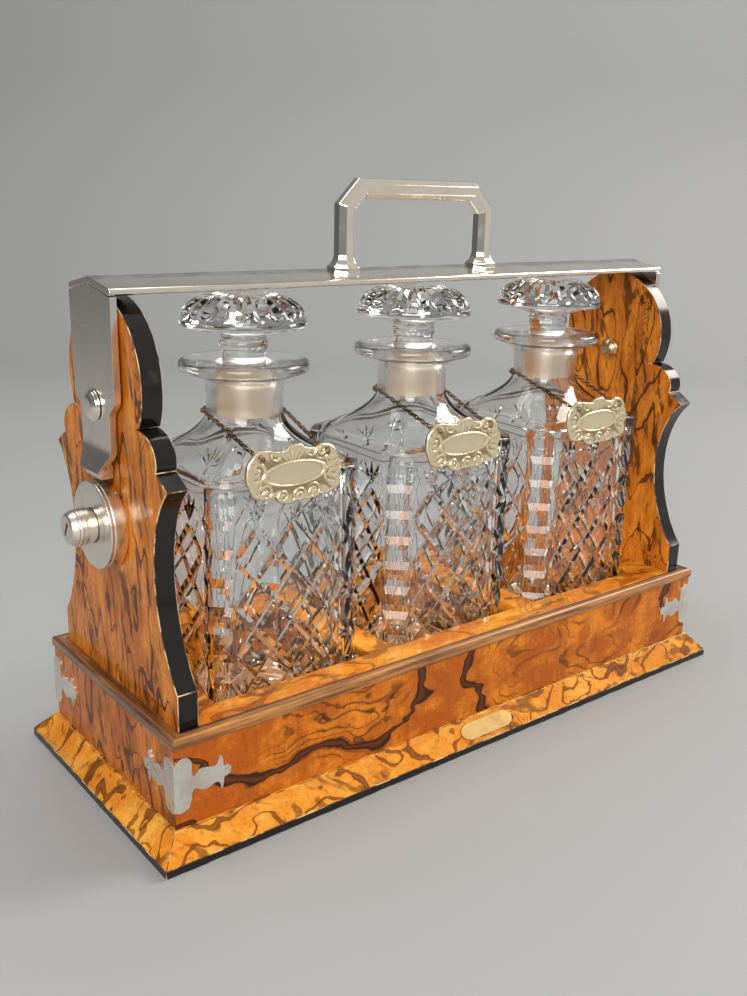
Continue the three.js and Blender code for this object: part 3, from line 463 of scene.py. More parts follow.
# %% [markdown]
# The first group draws the figure. One noise has a few levels, which gives the long rivers, and their width
# changes along them. The same noise with many levels gives the thin rings, which show only in patches. The
# middle of a river is a little paler than its banks, and the wood close to it is darker.

# %% The veneer's figure
def figure_group():
    group = bpy.data.node_groups.new("veneer figure", "ShaderNodeTree")
    add_socket(group, "Vector", "NodeSocketVector", "INPUT")
    add_socket(group, "Scale", "NodeSocketFloat", "INPUT", 16.0)
    add_socket(group, "Warp", "NodeSocketFloat", "INPUT", 0.02)
    add_socket(group, "Bands", "NodeSocketFloat", "INPUT", 4.0)
    add_socket(group, "Line Width", "NodeSocketFloat", "INPUT", 0.06)
    for name in ("Lines", "Core", "Halo", "Rings", "Tone", "Eyes", "Pores"):
        add_socket(group, name, "NodeSocketFloat", "OUTPUT")
    start = group.nodes.new("NodeGroupInput")
    end = group.nodes.new("NodeGroupOutput")
    vector = start.outputs["Vector"]
    wandering = pushed(group, vector, 32.0, start.outputs["Warp"])
    jagged = pushed(group, wandering, 170.0, 0.003)

    field = noise(group, jagged, start.outputs["Scale"], 1.5, 0.4)
    rising = math_node(group, "MULTIPLY", field, start.outputs["Bands"])
    off_line = math_node(group, "PINGPONG", rising, 0.5)
    uneven = range_node(group, noise(group, vector, 52.0), 0.38, 0.64, 0.35, 1.6)
    width = math_node(group, "MULTIPLY", uneven, start.outputs["Line Width"])
    beside = math_node(group, "DIVIDE", off_line, width)
    feed(group, end.inputs["Lines"], range_node(group, beside, 0.75, 1.2, 1.0, 0.0))
    feed(group, end.inputs["Core"], range_node(group, beside, 0.1, 0.7, 1.0, 0.0))
    feed(group, end.inputs["Halo"], range_node(group, beside, 1.0, 4.0, 1.0, 0.0))

    many = math_node(group, "MULTIPLY", rising, 7.0)
    ring = range_node(group, math_node(group, "PINGPONG", many, 0.5), 0.06, 0.17, 1.0, 0.0)
    patch = range_node(group, noise(group, vector, 24.0, 2.0), 0.53, 0.6)
    feed(group, end.inputs["Rings"], math_node(group, "MULTIPLY", ring, patch))

    cloud = noise(group, wandering, 55.0, 5.0, 0.65)
    folded = math_node(group, "MULTIPLY", noise(group, jagged, 190.0, 2.0), 7.0)
    curls = math_node(group, "MULTIPLY", math_node(group, "PINGPONG", folded, 0.5), 0.16)
    feed(group, end.inputs["Tone"], math_node(group, "ADD", curls, cloud))

    eyes = add_node(group, "ShaderNodeTexVoronoi", Scale=120.0)
    group.links.new(jagged, eyes.inputs["Vector"])
    off_ring = math_node(group, "ABSOLUTE", math_node(group, "SUBTRACT", eyes.outputs["Distance"], 0.16))
    dots = range_node(group, off_ring, 0.04, 0.12, 1.0, 0.0)
    grouped = range_node(group, noise(group, vector, 26.0, 1.0), 0.57, 0.64)
    feed(group, end.inputs["Eyes"], math_node(group, "MULTIPLY", dots, grouped))
    feed(group, end.inputs["Pores"], range_node(group, noise(group, vector, 620.0), 0.56, 0.68))
    return group


FIGURE = figure_group()
print("veneer figure has", len(FIGURE.nodes), "nodes")

# %% [markdown]
# The second group draws the grain: short dark flames and fine dark fibres that all run one way, along the
# third axis of the vector it is given. A veneer turns that vector to lay its grain upright or lengthways.

# %% The veneer's grain
def grain_group():
    group = bpy.data.node_groups.new("veneer grain", "ShaderNodeTree")
    add_socket(group, "Vector", "NodeSocketVector", "INPUT")
    add_socket(group, "Scale", "NodeSocketFloat", "INPUT", 150.0)
    add_socket(group, "Bend", "NodeSocketFloat", "INPUT", 0.012)
    for name in ("Flames", "Fibres", "Bars"):
        add_socket(group, name, "NodeSocketFloat", "OUTPUT")
    start = group.nodes.new("NodeGroupInput")
    end = group.nodes.new("NodeGroupOutput")
    bent = pushed(group, start.outputs["Vector"], 24.0, start.outputs["Bend"])
    long_way = squeezed(group, bent, (1, 1, 0.2))
    flames = noise(group, long_way, start.outputs["Scale"], 3.0, 0.55)
    feed(group, end.inputs["Flames"], range_node(group, flames, 0.54, 0.64))
    fibres = noise(group, squeezed(group, bent, (1, 1, 0.05)), 1100.0, 2.0)
    feed(group, end.inputs["Fibres"], range_node(group, fibres, 0.56, 0.7))
    bars = noise(group, squeezed(group, bent, (1, 1, 0.35)), 60.0, 4.0, 0.6)
    feed(group, end.inputs["Bars"], range_node(group, bars, 0.36, 0.64))
    return group


GRAIN = grain_group()
print("veneer grain has", len(GRAIN.nodes), "nodes")

# %% [markdown]
# A veneer mixes its ground from a pale and a deep tone, then lays the darker marks over it one by one. The
# polish is a thin clear coat that lies flat and mirrors the metalwork, while the wood's faint unevenness
# shows below it. Stretch squeezes the figure along one direction, turn lays the grain, and start moves both,
# as no two sheets of veneer are the same.

# %% Veneer materials
def veneer(name, pale, deep, dark, figure, grain, marks, stretch, turn=(0, 0, 0), start=(0, 0, 0)):
    """Marks says how strongly the lines, rings, flames and fibres show."""
    material, tree, shader = new_material(name)
    vector = place_nodes(tree, start=start)
    drawn = group_node(tree, FIGURE, squeezed(tree, vector, stretch), **figure)
    grown = group_node(tree, GRAIN, squeezed(tree, vector, (1, 1, 1), turn), **grain)
    lines, rings, flames, fibres = marks
    tone = math_node(tree, "ADD", drawn["Tone"], math_node(tree, "MULTIPLY", grown["Bars"], 0.12))
    colour = colour_mix(tree, range_node(tree, tone, 0.46, 0.8), deep, pale)
    for mask, strength, tint in (
        (drawn["Halo"], 0.6 * lines, deep), (grown["Fibres"], fibres, dark), (grown["Flames"], flames, dark),
        (drawn["Pores"], 0.25, dark), (drawn["Rings"], rings, dark), (drawn["Eyes"], 0.65, dark),
        (drawn["Lines"], lines, dark), (drawn["Core"], 0.22 * lines, deep),
    ):
        colour = colour_mix(tree, math_node(tree, "MULTIPLY", mask, strength), colour, tint)
    tree.links.new(colour, shader.inputs["Base Color"])
    tree.links.new(range_node(tree, tone, 0.4, 0.8, 0.42, 0.3), shader.inputs["Roughness"])
    set_inputs(shader, Specular_IOR_Level=0.1, Coat_Weight=0.4, Coat_Roughness=0.06)
    height = math_node(tree, "SUBTRACT", tone, drawn["Lines"])
    tree.links.new(bump_node(tree, height, 0.12, 0.0003), shader.inputs["Normal"])
    return material


LENGTHWAYS, UPRIGHT = (0, math.pi / 2 - 0.25, 0), (0.16, 0, 0)
BARK = (0.022, 0.006, 0.002)
veneer_wall = veneer(
    "burr veneer", (0.8, 0.25, 0.01), (0.46, 0.1, 0.004), BARK,
    {"Scale": 19.0, "Warp": 0.022, "Line_Width": 0.075}, {"Scale": 210.0}, (0.97, 0.6, 0.15, 0.15),
    stretch=(0.62, 1, 1))
veneer_end = veneer(
    "burr veneer of the ends", (0.72, 0.22, 0.022), (0.44, 0.11, 0.01), BARK,
    {"Scale": 27.0, "Bands": 6.0, "Line_Width": 0.05}, {"Scale": 200.0}, (0.85, 0.6, 0.7, 0.3),
    stretch=(1, 1.5, 0.5), turn=UPRIGHT, start=(3, 1, 2))
veneer_plinth = veneer(
    "sloping veneer", (0.9, 0.42, 0.06), (0.72, 0.24, 0.015), (0.1, 0.02, 0.003),
    {"Scale": 38.0, "Warp": 0.016, "Bands": 6.0, "Line_Width": 0.085}, {"Scale": 105.0, "Bend": 0.03},
    (0.85, 0.7, 0.7, 0.1), stretch=(0.7, 1, 1), turn=(0, math.pi / 2 - 0.6, 0), start=(5, 2, 7))
veneer_board = veneer(
    "top board veneer", (0.9, 0.38, 0.03), (0.6, 0.16, 0.007), (0.13, 0.025, 0.003),
    {"Scale": 24.0, "Line_Width": 0.045}, {"Scale": 110.0, "Bend": 0.02}, (0.6, 0.5, 0.75, 0.15),
    stretch=(0.6, 1.3, 1), turn=LENGTHWAYS, start=(9, 4, 1))
veneer_panel = veneer(
    "panel veneer", (0.8, 0.27, 0.025), (0.5, 0.135, 0.01), BARK,
    {"Scale": 27.0, "Bands": 6.0, "Line_Width": 0.05}, {"Scale": 190.0}, (0.9, 0.6, 0.75, 0.2),
    stretch=(1, 1.6, 0.5), turn=UPRIGHT, start=(2, 8, 3))
print("veneers:", [m.name for m in (veneer_wall, veneer_end, veneer_plinth, veneer_board, veneer_panel)])

# %% [markdown]
# The mouldings are thin strips whose grain runs along them, tan with darker stripes. The long ones also get a
# black line of painted shade beside the board, standing for the shaded gap between board and moulding. The
# black parts are pear wood stained and polished, worn to a thin pale line along their edges. The base is
# plain wood with green baize under it, and the wells are lined with tan cloth.

# %% Moulding, black polish, plain wood and baize
def striped_wood(name, light, dark, stretch, start=(0, 0, 0), rough=0.35, coat=0.5, gap_shade=None):
    """Gap_shade is the axis across the strip and the place in mm where the board that it frames ends. The
    strip is painted near black up to 1.4 mm past that place, as painted shade for the gap between board and
    moulding.
    """
    material, tree, shader = new_material(name)
    stripes = noise(tree, place_nodes(tree, stretch, start), 40.0, 6.0, 0.7)
    colour = colour_mix(tree, range_node(tree, stripes, 0.36, 0.66), dark, light)
    if gap_shade:
        axis, edge = gap_shade
        where = tree.nodes.new("ShaderNodeSeparateXYZ")
        tree.links.new(place_nodes(tree), where.inputs[0])
        away = math_node(tree, "SUBTRACT", math_node(tree, "ABSOLUTE", where.outputs[axis]), edge * MM)
        # Painted shade: the strip turns near black within 1.4 mm of the board's edge, for the shade in the
        # gap there.
        line = range_node(tree, away, 0.0014, 0.0017, 1.0, 0.0)
        colour = colour_mix(tree, line, colour, (0.012, 0.008, 0.006))
    tree.links.new(colour, shader.inputs["Base Color"])
    set_inputs(shader, Roughness=rough, Coat_Weight=coat, Coat_Roughness=0.1)
    tree.links.new(bump_node(tree, stripes, 0.15, 0.0002), shader.inputs["Normal"])
    return material


RIM_IN_Y = abs(box_mm("rim_front")[1].y)
print("the front moulding starts at", round(RIM_IN_Y, 2), "mm")
# The long mouldings carry the black line of painted shade beside the board.
moulding_long = striped_wood(
    "moulding", (0.56, 0.24, 0.06), (0.15, 0.05, 0.012), (0.5, 12, 12), coat=0.25, gap_shade=("Y", RIM_IN_Y))
moulding_end = striped_wood(
    "end moulding", (0.34, 0.15, 0.05), (0.07, 0.025, 0.01), (12, 0.5, 12), start=(4, 0, 0))
base_wood = striped_wood(
    "plain base wood", (0.42, 0.27, 0.14), (0.3, 0.17, 0.08), (0.6, 6, 3), rough=0.6, coat=0)


def worn_black():
    material, tree, shader = new_material("worn black polish")
    haze = noise(tree, place_nodes(tree), 90.0, 4.0, 0.7)
    rubbed = range_node(tree, haze, 0.6, 0.78)
    colour = colour_mix(tree, rubbed, (0.006, 0.005, 0.005), (0.035, 0.022, 0.014))
    tree.links.new(colour, shader.inputs["Base Color"])
    tree.links.new(range_node(tree, haze, 0.3, 0.7, 0.09, 0.22), shader.inputs["Roughness"])
    return material


def pale_edge():
    material, tree, shader = new_material("worn pale edge")
    wear = range_node(tree, noise(tree, place_nodes(tree), 140.0, 3.0), 0.42, 0.6)
    colour = colour_mix(tree, wear, (0.1, 0.045, 0.02), (0.8, 0.6, 0.34))
    tree.links.new(colour, shader.inputs["Base Color"])
    set_inputs(shader, Roughness=0.4)
    return material


def cloth(name, low, high):
    material, tree, shader = new_material(name)
    nap = noise(tree, place_nodes(tree), 900.0, 4.0, 0.8)
    tree.links.new(colour_mix(tree, nap, low, high), shader.inputs["Base Color"])
    set_inputs(shader, Roughness=0.95, Sheen_Weight=0.4)
    tree.links.new(bump_node(tree, nap, 0.5, 0.0003), shader.inputs["Normal"])
    return material


ebony = worn_black()
edge_line = pale_edge()
baize = cloth("green baize", (0.02, 0.07, 0.035), (0.06, 0.17, 0.09))
lining = cloth("tan lining", (0.45, 0.17, 0.04), (0.8, 0.36, 0.1))
print("other woods and cloths:", [m.name for m in (
    moulding_long, moulding_end, base_wood, ebony, edge_line, baize, lining)])

# %% [markdown]
# ## Metal
# Silver plate is never a perfect mirror. Years of polishing leave a haze of fine scratches, and tarnish stays
# where the cloth doesn't reach. One node group gives both: a haze that makes the reflection softer in
# patches, and a film that warms and darkens the colour. Each metal places it with its own strengths. The
# gilt castings also have a dark film in their hollows, but not on their backs.

# %% Polish and tarnish as a node group
def polish_group():
    group = bpy.data.node_groups.new("polish and tarnish", "ShaderNodeTree")
    add_socket(group, "Vector", "NodeSocketVector", "INPUT")
    add_socket(group, "Bright", "NodeSocketColor", "INPUT", (0.8, 0.78, 0.74, 1))
    add_socket(group, "Tarnished", "NodeSocketColor", "INPUT", (0.3, 0.22, 0.14, 1))
    add_socket(group, "Tarnish", "NodeSocketFloat", "INPUT", 0.3)
    add_socket(group, "Smooth", "NodeSocketFloat", "INPUT", 0.15)
    add_socket(group, "Hazy", "NodeSocketFloat", "INPUT", 0.3)
    add_socket(group, "Color", "NodeSocketColor", "OUTPUT")
    add_socket(group, "Roughness", "NodeSocketFloat", "OUTPUT")
    add_socket(group, "Scratches", "NodeSocketFloat", "OUTPUT")
    start = group.nodes.new("NodeGroupInput")
    end = group.nodes.new("NodeGroupOutput")
    vector, smooth = start.outputs["Vector"], start.outputs["Smooth"]
    patches = range_node(group, noise(group, vector, 55.0, 5.0, 0.65), 0.4, 0.72)
    amount = math_node(group, "MULTIPLY", patches, start.outputs["Tarnish"])
    mixed = colour_mix(group, amount, start.outputs["Bright"], start.outputs["Tarnished"])
    feed(group, end.inputs["Color"], mixed)
    streaks = noise(group, squeezed(group, vector, (0.06, 1, 1)), 2200.0, 2.0)
    feed(group, end.inputs["Scratches"], streaks)
    span = math_node(group, "SUBTRACT", start.outputs["Hazy"], smooth)
    lift = math_node(group, "MULTIPLY", patches, span)
    feed(group, end.inputs["Roughness"], math_node(group, "ADD", lift, smooth))
    return group


POLISH = polish_group()


def metal(name, bright, tarnished, tarnish, smooth, hazy, scratch=0.05, relief=0.0, hollow=None):
    """Relief is the strength of a cast, uneven surface. Hollow is a range of distances in mm from the middle
    of the case: a dark film lies in the hollows that reach into it, and fades out towards its end.
    """
    material, tree, shader = new_material(name)
    polish = group_node(
        tree, POLISH, place_nodes(tree), Bright=(*bright, 1), Tarnished=(*tarnished, 1), Tarnish=tarnish,
        Smooth=smooth, Hazy=hazy)
    colour = polish["Color"]
    if hollow:
        where = tree.nodes.new("ShaderNodeSeparateXYZ")
        tree.links.new(place_nodes(tree), where.inputs[0])
        away = math_node(tree, "ABSOLUTE", where.outputs["Y"])
        deep = range_node(tree, away, hollow[0] * MM, hollow[1] * MM, 0.7, 0.0)
        off_back = range_node(tree, away, (hollow[0] - 0.5) * MM, (hollow[0] - 0.3) * MM)
        colour = colour_mix(tree, math_node(tree, "MULTIPLY", deep, off_back), colour, tarnished)
    tree.links.new(colour, shader.inputs["Base Color"])
    tree.links.new(polish["Roughness"], shader.inputs["Roughness"])
    set_inputs(shader, Metallic=1.0)
    cast = None
    if relief:
        folded = math_node(tree, "MULTIPLY", noise(tree, place_nodes(tree, start=(7, 2, 0)), 130.0, 2.0), 3.0)
        cast = bump_node(tree, math_node(tree, "PINGPONG", folded, 0.5), relief, 0.0012)
    surface = bump_node(tree, polish["Scratches"], scratch, 0.0001, cast)
    tree.links.new(surface, shader.inputs["Normal"])
    return material


silver = metal("polished silver plate", (0.95, 0.88, 0.79), (0.7, 0.58, 0.48), 0.25, 0.07, 0.18)
silver_satin = metal("satin silver plate", (0.88, 0.82, 0.74), (0.66, 0.57, 0.47), 0.25, 0.22, 0.3, 0.08)
silver_mount = metal(
    "soft silver mounts", (0.93, 0.89, 0.81), (0.4, 0.32, 0.23), 0.4, 0.24, 0.38, 0.15, relief=0.45)
brass = metal("brass", (0.78, 0.58, 0.3), (0.25, 0.14, 0.05), 0.5, 0.18, 0.4, 0.1)
gilt = metal(
    "gilt casting", (1.0, 0.87, 0.6), (0.3, 0.17, 0.06), 0.1, 0.28, 0.4, 0.1, hollow=(43.05, 43.5))
dark_chain = metal("dark chain", (0.3, 0.2, 0.11), (0.04, 0.025, 0.012), 0.9, 0.2, 0.4)
plate_metal = metal("small plate", (0.74, 0.5, 0.2), (0.38, 0.22, 0.08), 0.6, 0.35, 0.5, 0.2)
steel = metal("plain steel", (0.5, 0.5, 0.5), (0.2, 0.16, 0.12), 0.3, 0.3, 0.5, 0.2)
print("metals:", [m.name for m in (
    silver, silver_satin, silver_mount, brass, gilt, dark_chain, plate_metal, steel)])

# %% [markdown]
# ## Glass
# Lead crystal bends light strongly, so it has an index of 1.55. Real glass throws bright patches through
# itself, which a path tracer finds only slowly, so rays that look for a lamp pass straight through: a
# Transparent shader stands in for the glass on shadow rays alone. The ground neck and plug are rough.

# %% Crystal and ground glass
CRYSTAL_INDEX = 1.55


def glass(name, roughness, tint, wave):
    material, tree, shader = new_material(name)
    colour = (*tint, 1)
    set_inputs(shader, Base_Color=colour, Roughness=roughness, IOR=CRYSTAL_INDEX, Transmission_Weight=1.0)
    ripple = noise(tree, place_nodes(tree), wave)
    tree.links.new(bump_node(tree, ripple, 0.05, 0.0004), shader.inputs["Normal"])
    through = add_node(tree, "ShaderNodeBsdfTransparent", Color=colour)
    path = tree.nodes.new("ShaderNodeLightPath")
    either = tree.nodes.new("ShaderNodeMixShader")
    tree.links.new(path.outputs["Is Shadow Ray"], either.inputs["Fac"])
    tree.links.new(shader.outputs[0], either.inputs[1])
    tree.links.new(through.outputs[0], either.inputs[2])
    tree.links.new(either.outputs[0], tree.nodes["Material Output"].inputs["Surface"])
    return material


crystal = glass("lead crystal", 0.0, (0.97, 0.98, 0.975), 40.0)
ground_glass = glass("ground glass", 0.3, (0.94, 0.86, 0.76), 900.0)
print("glass:", crystal.name, "and", ground_glass.name)

# %% [markdown]
# ## Plain pieces that stay
# Walls, mouldings, rails and pads already have their true shape in the CAD model, so they keep it. Real
# edges are never knife sharp, so each gets a small bevel, and on black and veneered edges the bevel takes
# the colour of the wood where the polish has worn through.

# %% Materials and soft edges on the CAD's own pieces
def dress(node, materials, width=0.0, worn=False):
    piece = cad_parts[node]
    piece.data.materials.clear()
    for material in materials:
        piece.data.materials.append(material)
    if width:
        weld = piece.modifiers.new("joined corners", "WELD")
        weld.merge_threshold = 0.01 * MM
        soften(piece, width, worn_slot=1 if worn else -1)


for side, wall, rim in (
    ("front", veneer_wall, moulding_long), ("back", veneer_wall, moulding_long),
    ("left", veneer_end, moulding_end), ("right", veneer_end, moulding_end),
):
    dress("plinth_" + side, (veneer_plinth, edge_line), 0.2, worn=True)
    dress("box_" + side, (wall,), 0.3)
    dress("rim_" + side, (rim,), 0.15)
dress("ebonised_band", (ebony, edge_line), 0.3, worn=True)
dress("base_board", (base_wood,), 0.2)
dress("base_baize", (baize,), 0.2)
for name in ("top_rail_front", "top_rail_back", "bridge_1", "bridge_2", "bridge_3", "bridge_4"):
    dress(name, (veneer_board,), 0.35)
for name in ("well_pad_1", "well_pad_2", "well_pad_3"):
    dress(name, (lining,), 0.4)
dress("name_plate", (plate_metal,), 0.2)
for name in ("pivot_washer_left", "pivot_washer_right", "lock_spring", "lock_cam", "lock_bolt"):
    dress(name, (steel,), 0.15)
for name in ("handle_screw_1", "handle_screw_2"):
    dress(name, (brass,), 0.2)
print("plain pieces dressed")

# %% [markdown]
# ## End panels
# Each panel is a vase outline with a spike on each side and a round lobe on top. The faces are veneered and
# the cut edge all round is stained black, with a thin pale line where the two meet and the stain has worn.

# %% The two end panels
def panel_outline():
    half = [(58.85, 14.35), (58.85, 73.7)]
    half += bezier((58.85, 73.7), (50.175, 83.56), (41.5, 103.28), (41.5, 123), 18)[1:]
    half += bezier((41.5, 123), (41.5, 140.16), (47.01, 154.2), (56, 162), 16)[1:]
    half += [(46.2, 168)]
    half += bezier((46.2, 168), (49.2, 174), (43.2, 183.4), (31, 183.4), 14)[1:]
    half += arc(0, 199.5, 36.5, -0.44, math.pi / 2, 30)
    return mirrored(half)


def add_panel(name, x0, x1):
    outline = panel_outline()
    points, faces = prism(outline, x0, x1, through_x)
    slots = [0, 0] + [1] * len(outline)
    mesh = mesh_from(name, points, faces, slots)
    materials = (veneer_panel, ebony, edge_line)
    piece = add_piece(name + "_shaped", mesh, "case", [name], materials)
    soften(piece, 0.4, worn_slot=2)


PANEL_OUT, PANEL_IN = 173.85, 164.15
add_panel("panel_left", -PANEL_OUT, -PANEL_IN)
add_panel("panel_right", PANEL_IN, PANEL_OUT)
print("panels made")

# %% [markdown]
# ## Turned metal
# Studs, bosses, the lock's drum and its barrel are turned on a lathe. Each is a profile swung round its axis,
# with every corner slightly rounded. The key slot and the bolt's slot are cut out with a Boolean.

# %% Booleans
def changed(mesh, tool, operation):
    """A mesh cut, joined or crossed with a tool, which is another mesh."""
    held, cutter = bpy.data.objects.new("held", mesh), bpy.data.objects.new("cutter", tool)
    for thing in (held, cutter):
        bpy.context.collection.objects.link(thing)
    step = held.modifiers.new("change", "BOOLEAN")
    step.operation, step.solver, step.object = operation, "EXACT", cutter
    result = applied(held)
    for thing in (held, cutter):
        bpy.data.objects.remove(thing)
    result.name = mesh.name
    result.shade_smooth()
    result.set_sharp_from_angle(angle=SHARP_ANGLE)
    return result


def block_mesh(name, low, high, turn_x=0.0, centre=(0, 0, 0)):
    """A box between two corners, turned about a line along X through centre."""
    outline = [(low[1], low[2]), (high[1], low[2]), (high[1], high[2]), (low[1], high[2])]
    points, faces = prism(outline, low[0], high[0], through_x)
    turn = Matrix.Rotation(turn_x, 3, "X")
    moved = [turn @ Vector(p) + Vector(centre) for p in points]
    return mesh_from(name, moved, faces)


# %% Studs, bosses, drum and barrel
PIVOT_Z, LOCK_Z = 188.9, 135.5
STUD = [(0, 4.8), (7, 4.8), (7, 5.6), (6.1, 5.9), (6.3, 6.5), (5.4, 6.9), (5.0, 7.4), (3.2, 7.9), (0, 8.0)]
BOSS = [
    (0, -9.75), (6.2, -9.75), (6.2, -12.2), (5.1, -12.7), (5.3, -13.6), (3.6, -15.2), (2.4, -15.75),
    (0, -15.75),
]
for name, side in (("left", -1), ("right", 1)):
    for kind, profile, metal_used, slot_name in (
        ("pivot_stud", STUD, silver, "silver_plate"), ("pivot_boss", BOSS, brass, "plain_brass"),
    ):
        node = kind + "_" + name
        place = on_axis_x(side * PANEL_OUT, 0, PIVOT_Z, side)
        points, faces = turned(rounded_profile(profile, 0.35), 48, place)
        mesh = mesh_from(node, points, faces)
        add_piece(node + "_turned", mesh, "case", [node], (metal_used,))

LOCK_PLACE = on_axis_x(-PANEL_OUT, 0, LOCK_Z, -1)
DRUM = [
    (0, 0.05), (19.1, 0.05), (19.1, 0.6), (20, 0.9), (20, 6.4), (19.55, 6.8), (20, 7.2), (20, 8.3),
    (19.6, 8.7), (8.0, 8.7), (7.9, 7.2), (0, 7.2),
]
BOLT_SLOT = ((-180.05, -3.3, 152.6), (-176.45, 3.3, 157))
points, faces = turned(rounded_profile(DRUM, 0.3, 3), 96, LOCK_PLACE)
drum = changed(mesh_from("lock_case", points, faces), block_mesh("bolt slot", *BOLT_SLOT), "DIFFERENCE")
add_piece("lock_case_turned", drum, "case", ["lock_case"], (silver_satin,))

BARREL = [
    (0, 7.4), (7.5, 7.4), (7.5, 10.9), (8.3, 11.0), (8.3, 14.4), (7.95, 14.6), (8.3, 14.8), (8.3, 15.2),
    (7.95, 15.4), (8.3, 15.6), (8.3, 16.4), (7.7, 17.1), (8.1, 17.5), (6.75, 20.1), (6.2, 20.5),
    (0, 20.5),
]
KEY_SLOT, KEY_SLOT_TURN = ((-196, -0.8, -3.5), (-189.35, 0.8, 3.5)), 0.5
points, faces = turned(rounded_profile(BARREL, 0.25, 3), 72, LOCK_PLACE)
key_slot = block_mesh("key slot", *KEY_SLOT, KEY_SLOT_TURN, (0, 0, LOCK_Z))
barrel = changed(mesh_from("lock_barrel", points, faces), key_slot, "DIFFERENCE")
add_piece("lock_barrel_turned", barrel, "lock_barrel", ["lock_barrel"], (silver_satin,))
print("turned pieces made")

# %% [markdown]
# ## The bail
# The top bar is a shallow gable with round long edges. The straps are flat plates that taper to a shouldered
# tail. The left tail bends outwards into a lip, so it is made as the bent plate, seen from the front, crossed
# with its outline, seen from the end.

# %% Top bar
BAR_EDGE_Y, BAR_EDGE_Z, BAR_EDGE_R = -19.25, 238, 1.5
RIDGE_UNDER_Z, RIDGE_Z = 240.2, 243.2
STRAP_IN, STRAP_OUT = 175.35, 178.35


def bar_outline():
    edge = arc(BAR_EDGE_Y, BAR_EDGE_Z, BAR_EDGE_R, -math.pi / 2, -math.pi * 3 / 2, 8)
    return [(0, RIDGE_UNDER_Z)] + edge + [(0, RIDGE_Z)] + [(-y, z) for y, z in reversed(edge)]


points, faces = prism(bar_outline(), -STRAP_OUT, STRAP_OUT, through_x)
mesh = mesh_from("top_bar", points, faces)
bar = add_piece("top_bar_gabled", mesh, "bail", ["top_bar"], (silver,))
soften(bar, 0.5, segments=3, angle=40)

# %% Straps
TAIL_END_Z, TAIL_HALF, STRAP_HALF = 169.5, 14.5, 20.5
SHOULDER_Z, SHOULDER_TOP_Z, STRAP_TOP_Z = 184.9, 193.9, 236.2
TONGUE = [(5.8, 155), (9.2, 160.65)]
CATCH = ((-180.35, -8, 157.5), (-174.95, 8, 163.5))
CATCH_SLOT = ((-180.15, -3.4, 156.5), (-176.35, 3.4, 162.5))


def strap_outline(tongue=()):
    """Half an outline from the end of the tail over its shoulder to the ridge, and its mirror image."""
    middle_z = (SHOULDER_Z + SHOULDER_TOP_Z) / 2
    half = list(tongue) + [(TAIL_HALF, TAIL_END_Z), (TAIL_HALF, SHOULDER_Z)]
    half += bezier(
        (TAIL_HALF, SHOULDER_Z), (TAIL_HALF, middle_z), (STRAP_HALF, middle_z), (STRAP_HALF, SHOULDER_TOP_Z),
        12)[1:]
    return mirrored(half + [(20.75, STRAP_TOP_Z), (19.25, STRAP_TOP_Z), (0, 239.9)])


def bent_plate():
    outer = rounded_profile([(-STRAP_OUT, 244), (-STRAP_OUT, TAIL_END_Z), (-182.65, 160.65)], 3.0, 8)
    inner = rounded_profile([(-179.95, 159.34), (-STRAP_IN, 168.81), (-STRAP_IN, 244)], 4.5, 8)
    return prism(outer + inner, -30, 30, through_y)


def bent_strap():
    """The left strap. Its catch is joined on before the slot is cut, so the slot goes through both."""
    plate = mesh_from("strap_left", *bent_plate())
    outline = mesh_from("strap outline", *prism(strap_outline(TONGUE), -190, -170, through_x))
    shaped = changed(plate, outline, "INTERSECT")
    with_catch = changed(shaped, block_mesh("catch", *CATCH), "UNION")
    return changed(with_catch, block_mesh("catch slot", *CATCH_SLOT), "DIFFERENCE")


flat_strap = mesh_from("strap_right", *prism(strap_outline(), STRAP_IN, STRAP_OUT, through_x))
for name, mesh, node in (
    ("strap_left_bent", bent_strap(), "strap_left"), ("strap_right_flat", flat_strap, "strap_right"),
):
    strap = add_piece(name, mesh, "bail", [node], (silver_satin,))
    soften(strap, 0.45, segments=3, angle=35)
print("bar and straps made")

# %% [markdown]
# The handle is an eight-sided rod bent over at two short slanting corners, on two eight-sided flared feet.
# Its rings sit on the bisecting plane of every corner, as in a mitred frame, so the flats stay flat.

# %% Carrying handle
HANDLE_X, HANDLE_SIDES = 46.1, 8
HANDLE_PATH = [
    (-HANDLE_X, 242.5), (-HANDLE_X, 271.47), (-36.97, 280.6), (36.97, 280.6), (HANDLE_X, 271.47),
    (HANDLE_X, 242.5),
]
HANDLE_SECTION = [
    (4.9, 2.0), (2.0, 4.9), (-2.0, 4.9), (-4.9, 2.0), (-4.9, -2.0), (-2.0, -4.9), (2.0, -4.9),
    (4.9, -2.0),
]
FOOT = [
    (0, -1.7), (8.25, -1.7), (8.25, 0.5), (8.0, 0.8), (7.0, 1.6), (6.0, 2.8), (5.4, 4.2), (5.0, 5.6),
    (4.7, 7.0), (0, 7.0),
]


def handle_rings():
    points = []
    for i, here in enumerate(HANDLE_PATH):
        before = Vector(here) - Vector(HANDLE_PATH[max(i - 1, 0)])
        after = Vector(HANDLE_PATH[min(i + 1, len(HANDLE_PATH) - 1)]) - Vector(here)
        before, after = (v.normalized() if v.length else None for v in (before, after))
        before, after = before or after, after or before
        along = (before + after).normalized()
        outwards = Vector((-along.y, along.x)) / along.dot(after)
        points += [(here[0] + outwards.x * a, y, here[1] + outwards.y * a) for a, y in HANDLE_SECTION]
    rings = [[HANDLE_SIDES * i + k for k in range(HANDLE_SIDES)] for i in range(len(HANDLE_PATH))]
    return points, faces_between(rings, HANDLE_SIDES) + [rings[0], rings[-1][::-1]]


